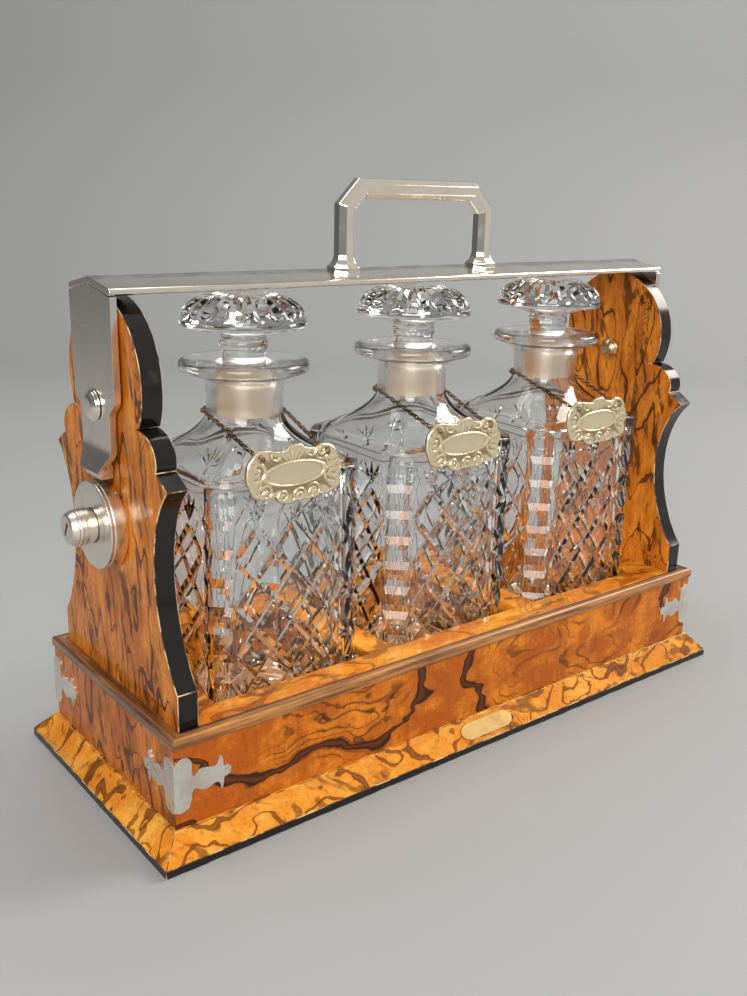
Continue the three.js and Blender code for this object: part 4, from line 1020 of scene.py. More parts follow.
def foot_form(x):
    """An eight-sided foot, turned so that its flats face the same ways as those of the rod."""
    half_side = math.pi / HANDLE_SIDES
    corner = 1 / math.cos(half_side)
    axis = on_axis_z(x, 0, RIDGE_Z)
    return turned(
        FOOT, HANDLE_SIDES, lambda radius, height, angle: axis(radius * corner, height, angle + half_side))


def joined_forms(*forms):
    points, faces = [], []
    for more_points, more_faces in forms:
        faces += [[len(points) + i for i in face] for face in more_faces]
        points += more_points
    return points, faces


points, faces = joined_forms(handle_rings(), foot_form(-HANDLE_X), foot_form(HANDLE_X))
mesh = mesh_from("handle", points, faces, sharp=math.radians(20))
handle = add_piece("handle_bent", mesh, "bail", ["handle"], (silver,))
soften(handle, 0.35, segments=3, angle=18)
print("handle made")

# %% [markdown]
# ## Corner mounts
# A thin cast mount wraps each corner of the case. On each face it has an ear at the corner, a narrow waist,
# and an arm with a round end, a curled tip above and a point below. The outline is drawn once in shares of
# the reach and of half the height, smoothed, and used on both faces of the corner.

# %% Four corner mounts
MOUNT_REACH, MOUNT_HALF, MOUNT_Z, MOUNT_THICK = 27.2, 13.4, 35.9, 0.8
MOUNT_OUTLINE = [
    (0, 0.72), (0.03, 0.79), (0.07, 0.88), (0.15, 0.92), (0.23, 0.86), (0.29, 0.68), (0.29, 0.42),
    (0.31, 0.17), (0.36, 0.19), (0.43, 0.34), (0.5, 0.35), (0.58, 0.3), (0.68, 0.27), (0.74, 0.32),
    (0.78, 0.5), (0.82, 0.56), (0.85, 0.42), (0.86, 0.2), (0.89, 0.13), (0.94, 0.16), (1, 0.03),
    (0.98, -0.16), (0.93, -0.23), (0.87, -0.26), (0.86, -0.46), (0.82, -0.68), (0.8, -0.5),
    (0.76, -0.37), (0.69, -0.36), (0.58, -0.45), (0.5, -0.45), (0.42, -0.38), (0.34, -0.3),
    (0.29, -0.42), (0.27, -0.7), (0.22, -0.93), (0.12, -1.02), (0.05, -1.02), (0, -0.97),
]
MOUNT_GAP = 0.05


def smooth_line(points, steps):
    """A soft curve through points, with its ends kept."""
    ends = [points[0]] + list(points) + [points[-1]]
    line = []
    for p0, p1, p2, p3 in zip(ends, ends[1:], ends[2:], ends[3:]):
        for i in range(steps):
            t = i / steps
            spot = []
            for a, b, c, d in zip(p0, p1, p2, p3):
                square, cube = 2 * a - 5 * b + 4 * c - d, 3 * b - a - 3 * c + d
                spot.append(0.5 * (2 * b + (c - a) * t + square * t * t + cube * t ** 3))
            line.append(tuple(spot))
    return line + [tuple(points[-1])]


def mount_outline():
    line = smooth_line([(u * MOUNT_REACH, v * MOUNT_HALF) for u, v in MOUNT_OUTLINE], 4)
    corner = -MOUNT_THICK - MOUNT_GAP
    return [(corner, line[-1][1]), (corner, line[0][1])] + line


def mount_mesh(name, corner_x, corner_y, turn):
    turned_by = Matrix.Rotation(turn, 3, "Z")
    meshes = []
    for place in (through_y, through_x):
        points, faces = prism(mount_outline(), -MOUNT_THICK - MOUNT_GAP, -MOUNT_GAP, place)
        moved = [turned_by @ Vector(p) + Vector((corner_x, corner_y, MOUNT_Z)) for p in points]
        meshes.append(mesh_from(name, moved, faces))
    return changed(meshes[0], meshes[1], "UNION")


for name, side_x, side_y, turn in (
    ("front_left", -1, -1, 0), ("front_right", 1, -1, math.pi / 2),
    ("back_right", 1, 1, math.pi), ("back_left", -1, 1, -math.pi / 2),
):
    node = "corner_mount_" + name
    mesh = mount_mesh(node, side_x * CASE_HALF_LENGTH, side_y * CASE_HALF_DEPTH, turn)
    mount = add_piece(node + "_cast", mesh, "case", [node], (silver_mount,))
    soften(mount, 0.25, segments=3, angle=35)
print("corner mounts made")

# %% [markdown]
# ## Glass faces
# A cutter holds the face of a decanter against a wheel with a V edge. Each pass leaves a straight groove
# that is deepest along its middle and runs out to a point at both ends. A groove is stored as its two ends,
# its width, its depth and the length of its points. The depth of the glass at a place is that of the deepest
# groove there. The face is triangulated along every ridge and every bottom line, so each cut is truly flat.

# %% Grooves
FACE_HALF, FACE_DEPTH = 34.5, 42.0
BODY_FOOT, BODY_TOP, SHOULDER_FOOT = 0.9, 138.0, 138.9


def groove(start, end, width, depth, point):
    return (Vector(start), Vector(end), width / 2, depth, point)


def groove_depth(cut, spot):
    """How deep a groove is at a place, or nought beside it."""
    start, end, half, depth, point = cut
    along = (end - start).normalized()
    run = (spot - start).dot(along)
    off = abs((spot - start).cross(along))
    length = (end - start).length
    full = min(1.0, run / point, (length - run) / point)
    return max(0.0, depth * (full - off / half))


def groove_lines(cut):
    """The bottom line of a groove, its two edges and its pointed ends, as pairs of points."""
    start, end, half, _, point = cut
    along = (end - start).normalized()
    side = Vector((-along.y, along.x)) * half
    a, b = start + along * point, end - along * point
    lines = [(start, a), (a, b), (b, end)]
    for s in (side, -side):
        lines += [(start, a + s), (a + s, b + s), (b + s, end), (a, a + s), (b, b + s)]
    return lines


# %% [markdown]
# The pattern: large diamonds, three across, made by two crossing sets of grooves. Every other diamond has a
# small cross cut in it. A fan of three short pointed strokes stands on each crossing of the top row.

# %% The pattern of one face
CELL_W, CELL_H = 20.6, 24.4
PATTERN_HALF, PATTERN_FOOT, PATTERN_TOP = 30.9, 8.0, 117.8
DIAMOND_GROOVE = {"width": 4.2, "depth": 1.0, "point": 3.0}
DIAMOND_REACH, SHORTEST_GROOVE = 1.4, 8
CROSS_GROOVE, CROSS_SHARE = {"width": 1.7, "depth": 0.4, "point": 2.2}, 0.8
FAN_GROOVE = {"width": 3.2, "depth": 0.8, "point": 6.5}
FAN_LEANS, FAN_LENGTH, FAN_RISE = (-0.44, 0, 0.44), 14, 1.6
HIP_END = 32.0


def diamond_grooves():
    cuts = []
    slope = CELL_H / CELL_W
    for lean in (1, -1):
        for k in range(-8, 9):
            z_middle = PATTERN_FOOT + CELL_H * (k + 0.5)
            ends = [Vector((u, z_middle + lean * slope * u)) for u in (-PATTERN_HALF, PATTERN_HALF)]
            clipped = clip_to_pattern(*ends)
            if clipped:
                a, b = clipped
                over = (b - a).normalized() * DIAMOND_REACH
                cuts.append(groove(a - over, b + over, **DIAMOND_GROOVE))
    return cuts


def clip_to_pattern(a, b):
    """The part of a line between the pattern's foot and top, if that is long enough for a groove."""
    low, high = 0.0, 1.0
    for edge, sign in ((PATTERN_FOOT, 1), (PATTERN_TOP, -1)):
        da, db = sign * (a.y - edge), sign * (b.y - edge)
        if da < 0 and db < 0:
            return None
        if da < 0:
            low = max(low, da / (da - db))
        if db < 0:
            high = min(high, da / (da - db))
    if (high - low) * (b - a).length < SHORTEST_GROOVE:
        return None
    return a + (b - a) * low, a + (b - a) * high


def cross_cuts():
    """Small crosses in every other diamond, parallel to its sides."""
    cuts = []
    rows = round((PATTERN_TOP - PATTERN_FOOT) / (CELL_H / 2))
    for row in range(1, rows, 2):
        for column in (-1, 0, 1):
            centre = Vector((column * CELL_W, PATTERN_FOOT + row * CELL_H / 2))
            for lean in (1, -1):
                arm = Vector((CELL_W / 4 * CROSS_SHARE, lean * CELL_H / 4 * CROSS_SHARE))
                cuts.append(groove(centre - arm, centre + arm, **CROSS_GROOVE))
    return cuts


def fan_cuts():
    cuts = []
    for u in (-CELL_W, 0, CELL_W):
        for lean in FAN_LEANS:
            along = Vector((math.sin(lean), math.cos(lean)))
            foot = Vector((u, PATTERN_TOP + FAN_RISE))
            cuts.append(groove(foot, foot + along * FAN_LENGTH, **FAN_GROOVE))
    return cuts


def hip_lines(cuts):
    """Where two wide grooves cross, the ridges between them run level and upright from the crossing. They end
    inside the zigzag edge of the face.
    """
    lines = []
    lean = math.atan2(CELL_H, CELL_W)
    for i, first in enumerate(cuts):
        for second in cuts[i + 1:]:
            d1, d2 = first[1] - first[0], second[1] - second[0]
            cross = d1.cross(d2)
            if abs(cross) < 1e-6:
                continue
            t = (second[0] - first[0]).cross(d2) / cross
            s = (second[0] - first[0]).cross(d1) / cross
            if 0 < t < 1 and 0 < s < 1:
                spot, half = first[0] + d1 * t, first[2]
                for arm in (Vector((half / math.sin(lean), 0)), Vector((0, half / math.cos(lean)))):
                    ends = (spot - arm, spot + arm)
                    lines.append([Vector((max(-HIP_END, min(HIP_END, p.x)), p.y)) for p in ends])
    return lines


DIAMOND_CUTS = diamond_grooves()
FACE_CUTS = DIAMOND_CUTS + cross_cuts() + fan_cuts()
print(len(FACE_CUTS), "cuts on each face")

# %% [markdown]
# The corners of the body are flats cut with a stack of shallow notches, which show as bright and dark
# rectangles. A notch moves the edge of the flat inwards, so the edge of the face zigzags, and the face and
# the flat share those points.

# %% The notched corners
NOTCH_PITCH, NOTCH_HALF, NOTCH_DEPTH, NOTCH_EDGE_DEPTH = 13.55, 4, 1.5, 0.2
EDGE_STEPS, CORNER_STEPS = 12, 4
QUARTERS = [(math.cos(k * math.pi / 2), math.sin(k * math.pi / 2)) for k in range(4)]


def corner_levels():
    """The heights where the flat of a corner changes, each with its depth there."""
    levels = [(BODY_FOOT, 0.0), (PATTERN_FOOT, 0.0)]
    z = PATTERN_FOOT
    while z + NOTCH_PITCH < BODY_TOP - NOTCH_HALF:
        middle = z + NOTCH_PITCH / 2
        levels += [
            (middle - NOTCH_HALF, NOTCH_EDGE_DEPTH), (middle, NOTCH_DEPTH),
            (middle + NOTCH_HALF, NOTCH_EDGE_DEPTH), (z + NOTCH_PITCH, 0.0),
        ]
        z += NOTCH_PITCH
    return levels + [(BODY_TOP, 0.0)]


CORNER_LEVELS = corner_levels()


def edge_of_face(depth):
    return FACE_HALF - math.sqrt(2) * depth


# %% One face, triangulated
def face_mesh():
    """Points (u, depth below the face, z) and triangles of one cut face."""
    right = [Vector((edge_of_face(d), z)) for z, d in CORNER_LEVELS]
    left = [Vector((-p.x, p.y)) for p in right]
    across = [FACE_HALF * (2 * i / EDGE_STEPS - 1) for i in range(1, EDGE_STEPS)]
    rim = [Vector((u, BODY_FOOT)) for u in across] + right
    rim += [Vector((-u, BODY_TOP)) for u in across] + left[::-1]
    points = list(rim)
    edges = [(i, (i + 1) % len(rim)) for i in range(len(rim))]
    lines = [line for cut in FACE_CUTS for line in groove_lines(cut)]
    lines += hip_lines(DIAMOND_CUTS)
    for a, b in lines:
        edges.append((len(points), len(points) + 1))
        points += [a, b]
    made = delaunay_2d_cdt(points, edges, [list(range(len(rim)))], 1, 1e-4)
    flat_points, triangles = made[0], made[2]
    formed = [(p.x, max(groove_depth(cut, p) for cut in FACE_CUTS), p.y) for p in flat_points]
    return formed, [list(t) for t in triangles]


FACE_POINTS, FACE_TRIANGLES = face_mesh()
print("one face:", len(FACE_POINTS), "points,", len(FACE_TRIANGLES), "triangles")
print("deepest cut", round(max(p[1] for p in FACE_POINTS), 2), "mm")

# %% [markdown]
# ## The decanter
# Above the faces, rings carry the square over to the round neck, swept in like a bell. The lip is a flat
# disc with a rounded edge. Inside is a plain blown hollow. Rings have 64 points: thirteen along each face,
# which are the face's own, and three across each corner.

# %% The rings of a decanter
DECANTER_Z = 16.6
NECK_R, LIP_R, BORE_R = 18.3, 30.8, 13.5
NECK_FOOT, NECK_TOP, LIP_FOOT, HEIGHT = 161.4, 175.4, 181.0, 186.4
INNER_HALF, INNER_CORNER, INNER_FLOOR, INNER_FLOOR_R = 35.5, 9, 12.0, 7
INNER_SHOULDER, INNER_TOP = 135.6, 160.4
ROLL_R, FLOOR_RISE, STAR_RISE = 1.5, 0.6, 1.8
RING = 4 * (EDGE_STEPS + CORNER_STEPS)


def square_ring(half, edge, z):
    """A ring round a square with cut corners: half is its half width and edge the end of a face."""
    side = [(edge * (2 * i / EDGE_STEPS - 1), -half) for i in range(EDGE_STEPS + 1)]
    cut = (half - edge) / CORNER_STEPS
    side += [(edge + cut * k, -half + cut * k) for k in range(1, CORNER_STEPS)]
    return [(x * c - y * s, x * s + y * c, z) for c, s in QUARTERS for x, y in side]


def round_ring(radius, z, like):
    """A circle whose points lie in the same directions as those of another ring."""
    return [(radius * x / math.hypot(x, y), radius * y / math.hypot(x, y), z) for x, y, _ in like]


def scaled_ring(ring, share, z):
    return [(x * share, y * share, z) for x, y, _ in ring]


def blend_ring(first, second, share, z):
    return [(a[0] + (b[0] - a[0]) * share, a[1] + (b[1] - a[1]) * share, z) for a, b in zip(first, second)]


UNIT_SQUARE = square_ring(FACE_DEPTH, FACE_HALF, 0)


def swept_ring(z, low, high, wide, narrow, base):
    """One ring of a shoulder that sweeps from a square of half width wide to a circle of radius narrow."""
    share = (z - low) / (high - low)
    size = narrow + (wide - narrow) * (1 - share) ** 1.82
    squareness = (1 - share) ** 1.05
    return blend_ring(round_ring(size, z, base), scaled_ring(base, size / wide, z), squareness, z)


def soft_square(half, corner, z):
    """A square with round corners, on the same directions."""
    ring = []
    for x, y, _ in UNIT_SQUARE:
        direction = Vector((x, y)).normalized()
        a, b = abs(direction.x), abs(direction.y)
        reach = half / max(a, b)
        centre = half - corner
        if min(a, b) * reach > centre:
            m = (a + b) * centre
            reach = m + math.sqrt(max(0.0, m * m - 2 * centre * centre + corner * corner))
        ring.append((direction.x * reach, direction.y * reach, z))
    return ring


def outer_rings():
    """A small roll over the edge of the body, the shoulder, the neck and the lip."""
    rings = []
    for turn in (0, 0.27, 0.54, 0.81, 1.08):
        share = 1 - ROLL_R * (1 - math.cos(turn)) / FACE_DEPTH
        rings.append(scaled_ring(UNIT_SQUARE, share, BODY_TOP + ROLL_R * math.sin(turn)))
    for i in range(1, 17):
        z = SHOULDER_FOOT + (NECK_FOOT - SHOULDER_FOOT) * i / 16
        rings.append(swept_ring(z, SHOULDER_FOOT, NECK_FOOT, FACE_DEPTH, NECK_R, UNIT_SQUARE))
    neck = [
        (18.2, NECK_FOOT + 1), (18.3, NECK_TOP - 4), (18.6, NECK_TOP - 1), (19.6, NECK_TOP + 1),
        (22, NECK_TOP + 3), (26, LIP_FOOT - 1), (29.3, LIP_FOOT), (30.4, LIP_FOOT + 0.6),
        (LIP_R, LIP_FOOT + 2), (LIP_R, HEIGHT - 2), (30.4, HEIGHT - 0.7), (29.5, HEIGHT - 0.1),
        (28, HEIGHT), (24, HEIGHT - 0.4), (18, HEIGHT - 0.7), (14.4, HEIGHT - 0.8),
    ]
    return rings + [round_ring(r, z, UNIT_SQUARE) for r, z in neck]


def bore_rings():
    return [round_ring(BORE_R, z, UNIT_SQUARE) for z in (HEIGHT - 1.7, 176, 168, INNER_TOP)]


def inner_rings():
    """The hollow from the foot of the bore down to the middle of its floor."""
    square = soft_square(INNER_HALF, INNER_CORNER, 0)
    wall_foot = INNER_FLOOR + INNER_FLOOR_R
    rings = []
    for i in range(1, 13):
        z = INNER_TOP - (INNER_TOP - INNER_SHOULDER) * i / 12
        rings.append(swept_ring(z, INNER_SHOULDER, INNER_TOP, INNER_HALF, BORE_R, square))
    rings += [soft_square(INNER_HALF, INNER_CORNER, z) for z in (120, 80, 40, wall_foot)]
    for k in range(1, 6):
        a = k / 5 * math.pi / 2
        half = INNER_HALF - INNER_FLOOR_R * (1 - math.cos(a))
        rings.append(soft_square(half, INNER_CORNER, wall_foot - INNER_FLOOR_R * math.sin(a)))
    rings += [round_ring(r, INNER_FLOOR + FLOOR_RISE * (1 - r / 20), UNIT_SQUARE) for r in (18, 8)]
    return rings


# %% [markdown]
# The parts are put together into one closed skin, and points that coincide are merged. Cut faces, corner
# flats and the star under the foot are shaded flat; the blown and polished surfaces are shaded smooth. The
# bore is ground, so that the stopper grips, and takes the second material.

# %% One decanter's mesh
def add_rings(points, faces, rings):
    """Adds rings to a skin, with a band of faces from each to the next."""
    for i in range(len(rings) - 1):
        low = len(points) + RING * i
        for k in range(RING):
            j = (k + 1) % RING
            faces.append([low + k, low + j, low + RING + j, low + RING + k])
    points += [p for ring in rings for p in ring]


def close_ring(points, faces, middle):
    """Closes the last ring with triangles that meet in a middle point."""
    last = len(points) - RING
    faces += [[last + k, last + (k + 1) % RING, len(points)] for k in range(RING)]
    points.append(middle)


def body_faces():
    """The four cut faces and the four notched corners."""
    points, faces = [], []
    side = [(u, depth - FACE_DEPTH, z) for u, depth, z in FACE_POINTS]
    for z, depth in CORNER_LEVELS:
        edge = edge_of_face(depth)
        cut = (FACE_DEPTH - edge) / CORNER_STEPS
        side += [(edge + cut * k, -FACE_DEPTH + cut * k, z) for k in range(CORNER_STEPS + 1)]
    across = CORNER_STEPS + 1
    for c, s in QUARTERS:
        base = len(points)
        points += [(x * c - y * s, x * s + y * c, z) for x, y, z in side]
        faces += [[base + i for i in t] for t in FACE_TRIANGLES]
        base += len(FACE_POINTS)
        for level in range(len(CORNER_LEVELS) - 1):
            for k in range(CORNER_STEPS):
                a = base + across * level + k
                faces.append([a, a + 1, a + across + 1, a + across])
    return points, faces


def foot_rings():
    """The foot's edge and the star cut under it, whose rays lie on every fourth point of a ring."""
    small = (FACE_DEPTH - BODY_FOOT) / FACE_DEPTH
    rings = [scaled_ring(UNIT_SQUARE, 1, BODY_FOOT), scaled_ring(UNIT_SQUARE, small, 0)]
    rings.append(round_ring(32, 0, UNIT_SQUARE))
    ray_shares = (1, 0.5, 0.1, 0.5)
    for radius, deep in ((24, 0.9), (12, 1.6)):
        ring = round_ring(radius, 0, UNIT_SQUARE)
        rings.append([(x, y, deep * ray_shares[i % 4]) for i, (x, y, _) in enumerate(ring)])
    return rings


def decanter_mesh():
    points, faces = body_faces()
    add_rings(points, faces, foot_rings())
    close_ring(points, faces, (0, 0, STAR_RISE))
    flat_end = len(faces)
    upper = outer_rings()
    add_rings(points, faces, upper)
    bore_start = len(faces)
    bore = [upper[-1]] + bore_rings()
    add_rings(points, faces, bore)
    bore_end = len(faces)
    add_rings(points, faces, [bore[-1]] + inner_rings())
    close_ring(points, faces, (0, 0, INNER_FLOOR + FLOOR_RISE))
    slots = [1 if bore_start <= i < bore_end else 0 for i in range(len(faces))]
    return cut_mesh("decanter", [(x, y, z + DECANTER_Z) for x, y, z in points], faces, slots, flat_end)


def cut_mesh(name, points, faces, slots=None, flat_end=0):
    """A closed mesh with doubled points merged. Faces before flat_end are shaded flat, the others smooth."""
    mesh = bpy.data.meshes.new(name)
    mesh.from_pydata([Vector(p) * MM for p in points], [], faces)
    mesh.polygons.foreach_set("material_index", slots or [0] * len(faces))
    build = bmesh.new()
    build.from_mesh(mesh)
    for i, face in enumerate(build.faces):
        face.smooth = i >= flat_end
    bmesh.ops.remove_doubles(build, verts=build.verts, dist=0.004 * MM)
    bmesh.ops.dissolve_degenerate(build, edges=build.edges, dist=0.002 * MM)
    bmesh.ops.recalc_face_normals(build, faces=build.faces)
    open_edges = sum(1 for e in build.edges if len(e.link_faces) != 2)
    build.to_mesh(mesh)
    build.free()
    print(name, "has", len(mesh.polygons), "faces and", open_edges, "open edges")
    return mesh


DECANTER_PLACES = (-103.6, 0.0, 103.6)


def add_copies(kind, mesh, body_kind, materials, suffix):
    """The same mesh in three places, each on its own body and standing for its own node."""
    for material in materials:
        mesh.materials.append(material)
    for i, x in enumerate(DECANTER_PLACES, 1):
        piece = bpy.data.objects.new("%s_%d_%s" % (kind, i, suffix), mesh)
        piece.location = in_frame(x, 0, 0)
        bpy.context.collection.objects.link(piece)
        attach(piece, "%s_%d" % (body_kind, i))
        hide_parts("%s_%d" % (kind, i))


add_copies("decanter", decanter_mesh(), "decanter", (crystal, ground_glass), "cut")

# %% [markdown]
# ## Stoppers
# A mushroom cap with a thick round rim, cut with 22 narrow flutes that run from above the rim towards the
# crown. A flute is pointed at both ends, so its depth rises and falls along it. Below the cap are a slim stem
# with a slight collar and a ground plug that tapers. The whole is shaded smooth, except at sharp edges.

# %% A stopper's mesh
STOPPER_Z = 203.0
FLUTES, FLUTE_STEPS, FLUTE_DEPTH, FLUTE_HALF = 22, 6, 1.6, 0.3
PLUG = [(0, -26), (11.6, -26), (12.2, -25.6), (13, -6.5), (12.6, -5)]
STEM = [
    (10.6, -3.5), (10.3, 1), (10.5, 4.6), (11.0, 5.2), (11.3, 6.3), (11.3, 7.8), (11.0, 8.8),
    (10.6, 9.3), (12.0, 10.6), (16.5, 12.4), (22, 13.9), (27, 15.0), (28.9, 15.4),
]
CAP_RIM = [(29.5, 15.9), (29.75, 16.7), (29.7, 17.6), (29.3, 18.5)]
CAP_R, CAP_FOOT, CAP_RISE, CAP_TURN, CAP_TOP = 29.3, 18.5, 12.9, 1.45, 31.5


def fluted_ring(radius, z, sink):
    """A ring whose points go inwards and down where it crosses a flute."""
    ring = []
    for i in range(FLUTES * FLUTE_STEPS):
        off_middle = abs((i / FLUTE_STEPS) % 1 - 0.5)
        depth = sink * max(0.0, 1 - off_middle / FLUTE_HALF)
        angle = 2 * math.pi * i / (FLUTES * FLUTE_STEPS)
        r = radius - depth * 0.55
        ring.append((r * math.cos(angle), r * math.sin(angle), z - depth * 0.8))
    return ring


def stopper_mesh():
    steps = FLUTES * FLUTE_STEPS
    levels = [(radius, z, 0.0) for radius, z in PLUG + STEM + CAP_RIM]
    for i in range(1, 17):
        a = CAP_TURN * i / 16
        radius, z = CAP_R * math.cos(a) ** 0.75, CAP_FOOT + CAP_RISE * math.sin(a)
        rise, fall = min(1.0, (a - 0.09) / 0.35), min(1.0, (CAP_TURN - a) / 0.7)
        levels.append((radius, z, FLUTE_DEPTH * max(0.0, rise * fall) * min(1.0, radius / 18)))
    points, rings = [], []
    for radius, z, sink in levels + [(0, CAP_TOP, 0.0)]:
        ring = fluted_ring(radius, z, sink) if radius else [(0, 0, z)]
        rings.append(list(range(len(points), len(points) + len(ring))))
        points += ring
    faces = faces_between(rings, steps)
    ground = (len(PLUG) - 1) * steps
    slots = [1 if steps <= i < ground else 0 for i in range(len(faces))]
    mesh = cut_mesh("stopper", [(x, y, z + STOPPER_Z) for x, y, z in points], faces, slots)
    mesh.set_sharp_from_angle(angle=math.radians(18))
    return mesh


add_copies("stopper", stopper_mesh(), "stopper", (crystal, ground_glass), "cut")

# %% [markdown]
# ## Labels
# Each label is cast and gilt, in the scrolled style of old wine labels, with a plain field left for a name.
# Its surface is a net of rings from the middle out to the scrolled outline. Its height adds up a raised
# frame round the plain field, a ring of spiral scrolls with leaves between them, and a shell at the top.

# %% A label's mesh
LABEL_OUTLINE = [
    (-0.86, 0.2), (-0.75, 0.15), (-0.62, 0.13), (-0.44, 0.14), (-0.36, 0.06), (-0.2, 0), (0.02, 0.03),
    (0.24, 0.02), (0.4, 0.03), (0.52, 0.07), (0.62, 0.06), (0.8, 0.09), (0.96, 0.18), (0.94, 0.34),
    (1, 0.52), (0.9, 0.7), (0.85, 0.82), (0.74, 0.9), (0.56, 0.94), (0.42, 0.89), (0.22, 0.92),
    (0.1, 0.99), (-0.12, 0.97), (-0.22, 0.91), (-0.48, 0.93), (-0.7, 0.96), (-0.86, 0.88), (-0.98, 0.72),
    (-1, 0.5), (-0.94, 0.34),
]
LABEL_HALF, LABEL_HEIGHT, LABEL_TOP, LABEL_Y, LABEL_THICK = 26.0, 27.5, 171.0, -42.4, 0.6
FIELD_RISE = 0.62


def label_edge():
    corners = [Vector((u * LABEL_HALF, (v - 0.5) * LABEL_HEIGHT)) for u, v in LABEL_OUTLINE]
    closed = corners + corners[:3]
    return [Vector(p) for p in smooth_line(closed, 8)[8:8 + 8 * len(corners)]]


def spiral_ridge(x, z, scroll):
    """How near a place lies to the line of a spiral scroll, which is its middle, size, turn and way round."""
    middle_x, middle_z, size, turn, wind = scroll
    dx, dz = x - middle_x, z - middle_z
    away = math.hypot(dx, dz)
    if away > size:
        return 0.0
    angle = math.atan2(dz, dx) * wind + turn
    phase = (away / size * 2.2 + angle / (2 * math.pi)) % 1
    return max(0.0, math.cos((phase - 0.5) * 2 * math.pi)) * min(1.0, (size - away) / size * 4)


SCROLLS = [
    (-20.0, 3.2, 6.2, 0.6, 1), (20.2, -2.4, 5.4, 2.2, -1),
    (-15.5, -7.2, 5.2, 2.0, -1), (15.0, 8.4, 4.8, 0.4, 1),
]
SMALL_SCROLLS = [
    (-10.5, 9.6), (9.0, 10.2), (-6.5, -10.2), (2.0, -10.6), (10.0, -9.8), (20.6, 5.0), (-21.0, -4.2),
]
SCROLLS += [(x, z, 4.4, 1.3 * i, 1 if i % 2 else -1) for i, (x, z) in enumerate(SMALL_SCROLLS)]


def label_height(x, z, share):
    """How far the casting stands out at a place. Share is how far out it lies towards the label's edge."""
    field = math.hypot(x / 15.0, z / 5.0)
    if field < 0.95:
        return 0.5 + 0.12 * (1 - field * field)
    frame_ridge = 1.0 * math.exp(-((field - 1.08) / 0.08) ** 2)
    angle = math.atan2(z * 1.7, x)
    leaves = 0.75 * abs(math.cos(angle * 13 + 5 * share)) ** 1.5 * max(0.0, 1 - abs(share - 0.84) * 5)
    rim = 0.55 * math.exp(-((share - 0.95) / 0.04) ** 2)
    scrolls = max(1.05 * spiral_ridge(x, z, scroll) for scroll in SCROLLS)
    shell = 0.95 * abs(math.cos(9 * math.atan2(x + 1.5, z - 3.0))) * math.exp(
        -(((x + 1.5) / 6) ** 2 + ((z - 10) / 4.0) ** 2))
    return 0.08 + max(frame_ridge, leaves + rim, scrolls, shell)


def label_mesh():
    edge = label_edge()
    count, rows = len(edge), 40
    points, faces = [], []
    middle_z = LABEL_TOP - LABEL_HEIGHT / 2
    for row in range(1, rows + 1):
        share = row / rows
        for p in edge:
            x, z = p.x * share, p.y * share
            rise = label_height(x, z, share) if row < rows else 0.0
            points.append((x, LABEL_Y - LABEL_THICK - rise, z + middle_z))
    for row in range(rows - 1):
        near, far = row * count, (row + 1) * count
        for i in range(count):
            j = (i + 1) % count
            faces.append([near + i, near + j, far + j, far + i])
    faces += [[i, (i + 1) % count, len(points)] for i in range(count)]
    points.append((0, LABEL_Y - LABEL_THICK - FIELD_RISE, middle_z))
    back = len(points)
    points += [(p.x, LABEL_Y, p.y + middle_z) for p in edge]
    last = (rows - 1) * count
    faces += [[last + i, last + (i + 1) % count, back + (i + 1) % count, back + i] for i in range(count)]
    faces.append(list(range(back, back + count)))
    return cut_mesh("label", points, faces)


add_copies("label", label_mesh(), "label", (gilt,), "cast")

# %% [markdown]
# ## Chains
# A fine chain runs from one eye of the label round the back of the neck to the other eye. Each link is a
# small oval ring of wire, and every other link is turned by a quarter.

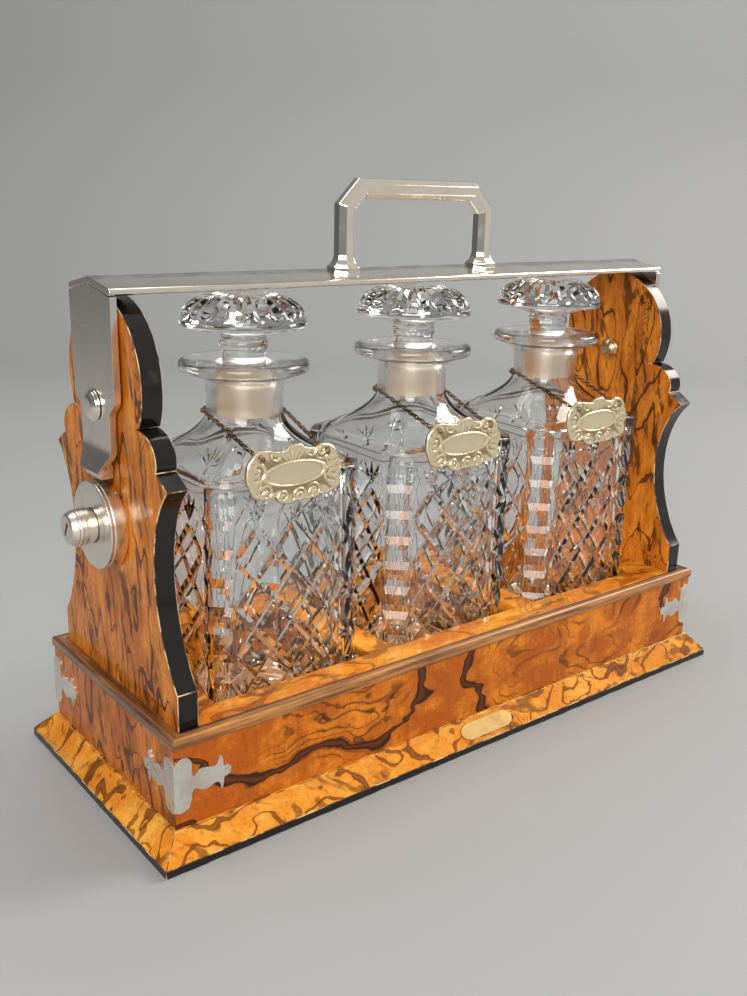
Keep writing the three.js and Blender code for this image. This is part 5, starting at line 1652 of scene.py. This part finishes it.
# %% A chain's mesh
EYE_X, EYE_Y, EYE_Z = 17.5, -42.9, 166.0
LOOP_R, LOOP_Z = 19.7, 178.5
LINK_HALF_LENGTH, LINK_HALF_WIDTH, WIRE_R, LINK_PITCH = 1.6, 0.95, 0.4, 2.4
LINK_STEPS, WIRE_STEPS = 12, 6


def chain_path():
    """From behind the left eye, round the back of the neck, to behind the right eye."""
    turns = [math.pi * i / 8 for i in range(9)]
    loop = [(LOOP_R * math.cos(math.pi - a), LOOP_R * math.sin(a), LOOP_Z) for a in turns]
    points = [(-EYE_X, EYE_Y - 1, EYE_Z), (-EYE_X, EYE_Y + 4, EYE_Z)] + loop
    points += [(EYE_X, EYE_Y + 4, EYE_Z), (EYE_X, EYE_Y - 1, EYE_Z)]
    return [Vector(p) for p in smooth_line(points, 24)]


def evenly_spaced(line, pitch):
    """Places along a line, each with the direction of the line there."""
    spots, left = [], 0.0
    for a, b in zip(line, line[1:]):
        length = (b - a).length
        while left < length:
            spots.append((a + (b - a) * (left / length), (b - a).normalized()))
            left += pitch
        left -= length
    return spots


def link_form(spot, along, quarter):
    side = along.cross(Vector((0, 0, 1)))
    side = side.normalized() if side.length > 0.1 else Vector((1, 0, 0))
    wide = side if quarter else along.cross(side).normalized()
    thick = along.cross(wide).normalized()
    points, rings = [], []
    for i in range(LINK_STEPS):
        a = 2 * math.pi * i / LINK_STEPS
        middle = spot + along * (LINK_HALF_LENGTH * math.cos(a)) + wide * (LINK_HALF_WIDTH * math.sin(a))
        out = (along * math.cos(a) + wide * math.sin(a)).normalized()
        rings.append(list(range(len(points), len(points) + WIRE_STEPS)))
        for k in range(WIRE_STEPS):
            b = 2 * math.pi * k / WIRE_STEPS
            points.append(tuple(middle + (out * math.cos(b) + thick * math.sin(b)) * WIRE_R))
    return points, faces_between(rings + [rings[0]], WIRE_STEPS)


def chain_mesh():
    spots = evenly_spaced(chain_path(), LINK_PITCH)
    forms = [link_form(spot, along, i % 2) for i, (spot, along) in enumerate(spots)]
    points, faces = joined_forms(*forms)
    mesh = bpy.data.meshes.new("chain")
    mesh.from_pydata([Vector(p) * MM for p in points], [], faces)
    mesh.shade_smooth()
    print("chain has", len(forms), "links")
    return mesh


add_copies("chain", chain_mesh(), "decanter", (dark_chain,), "linked")
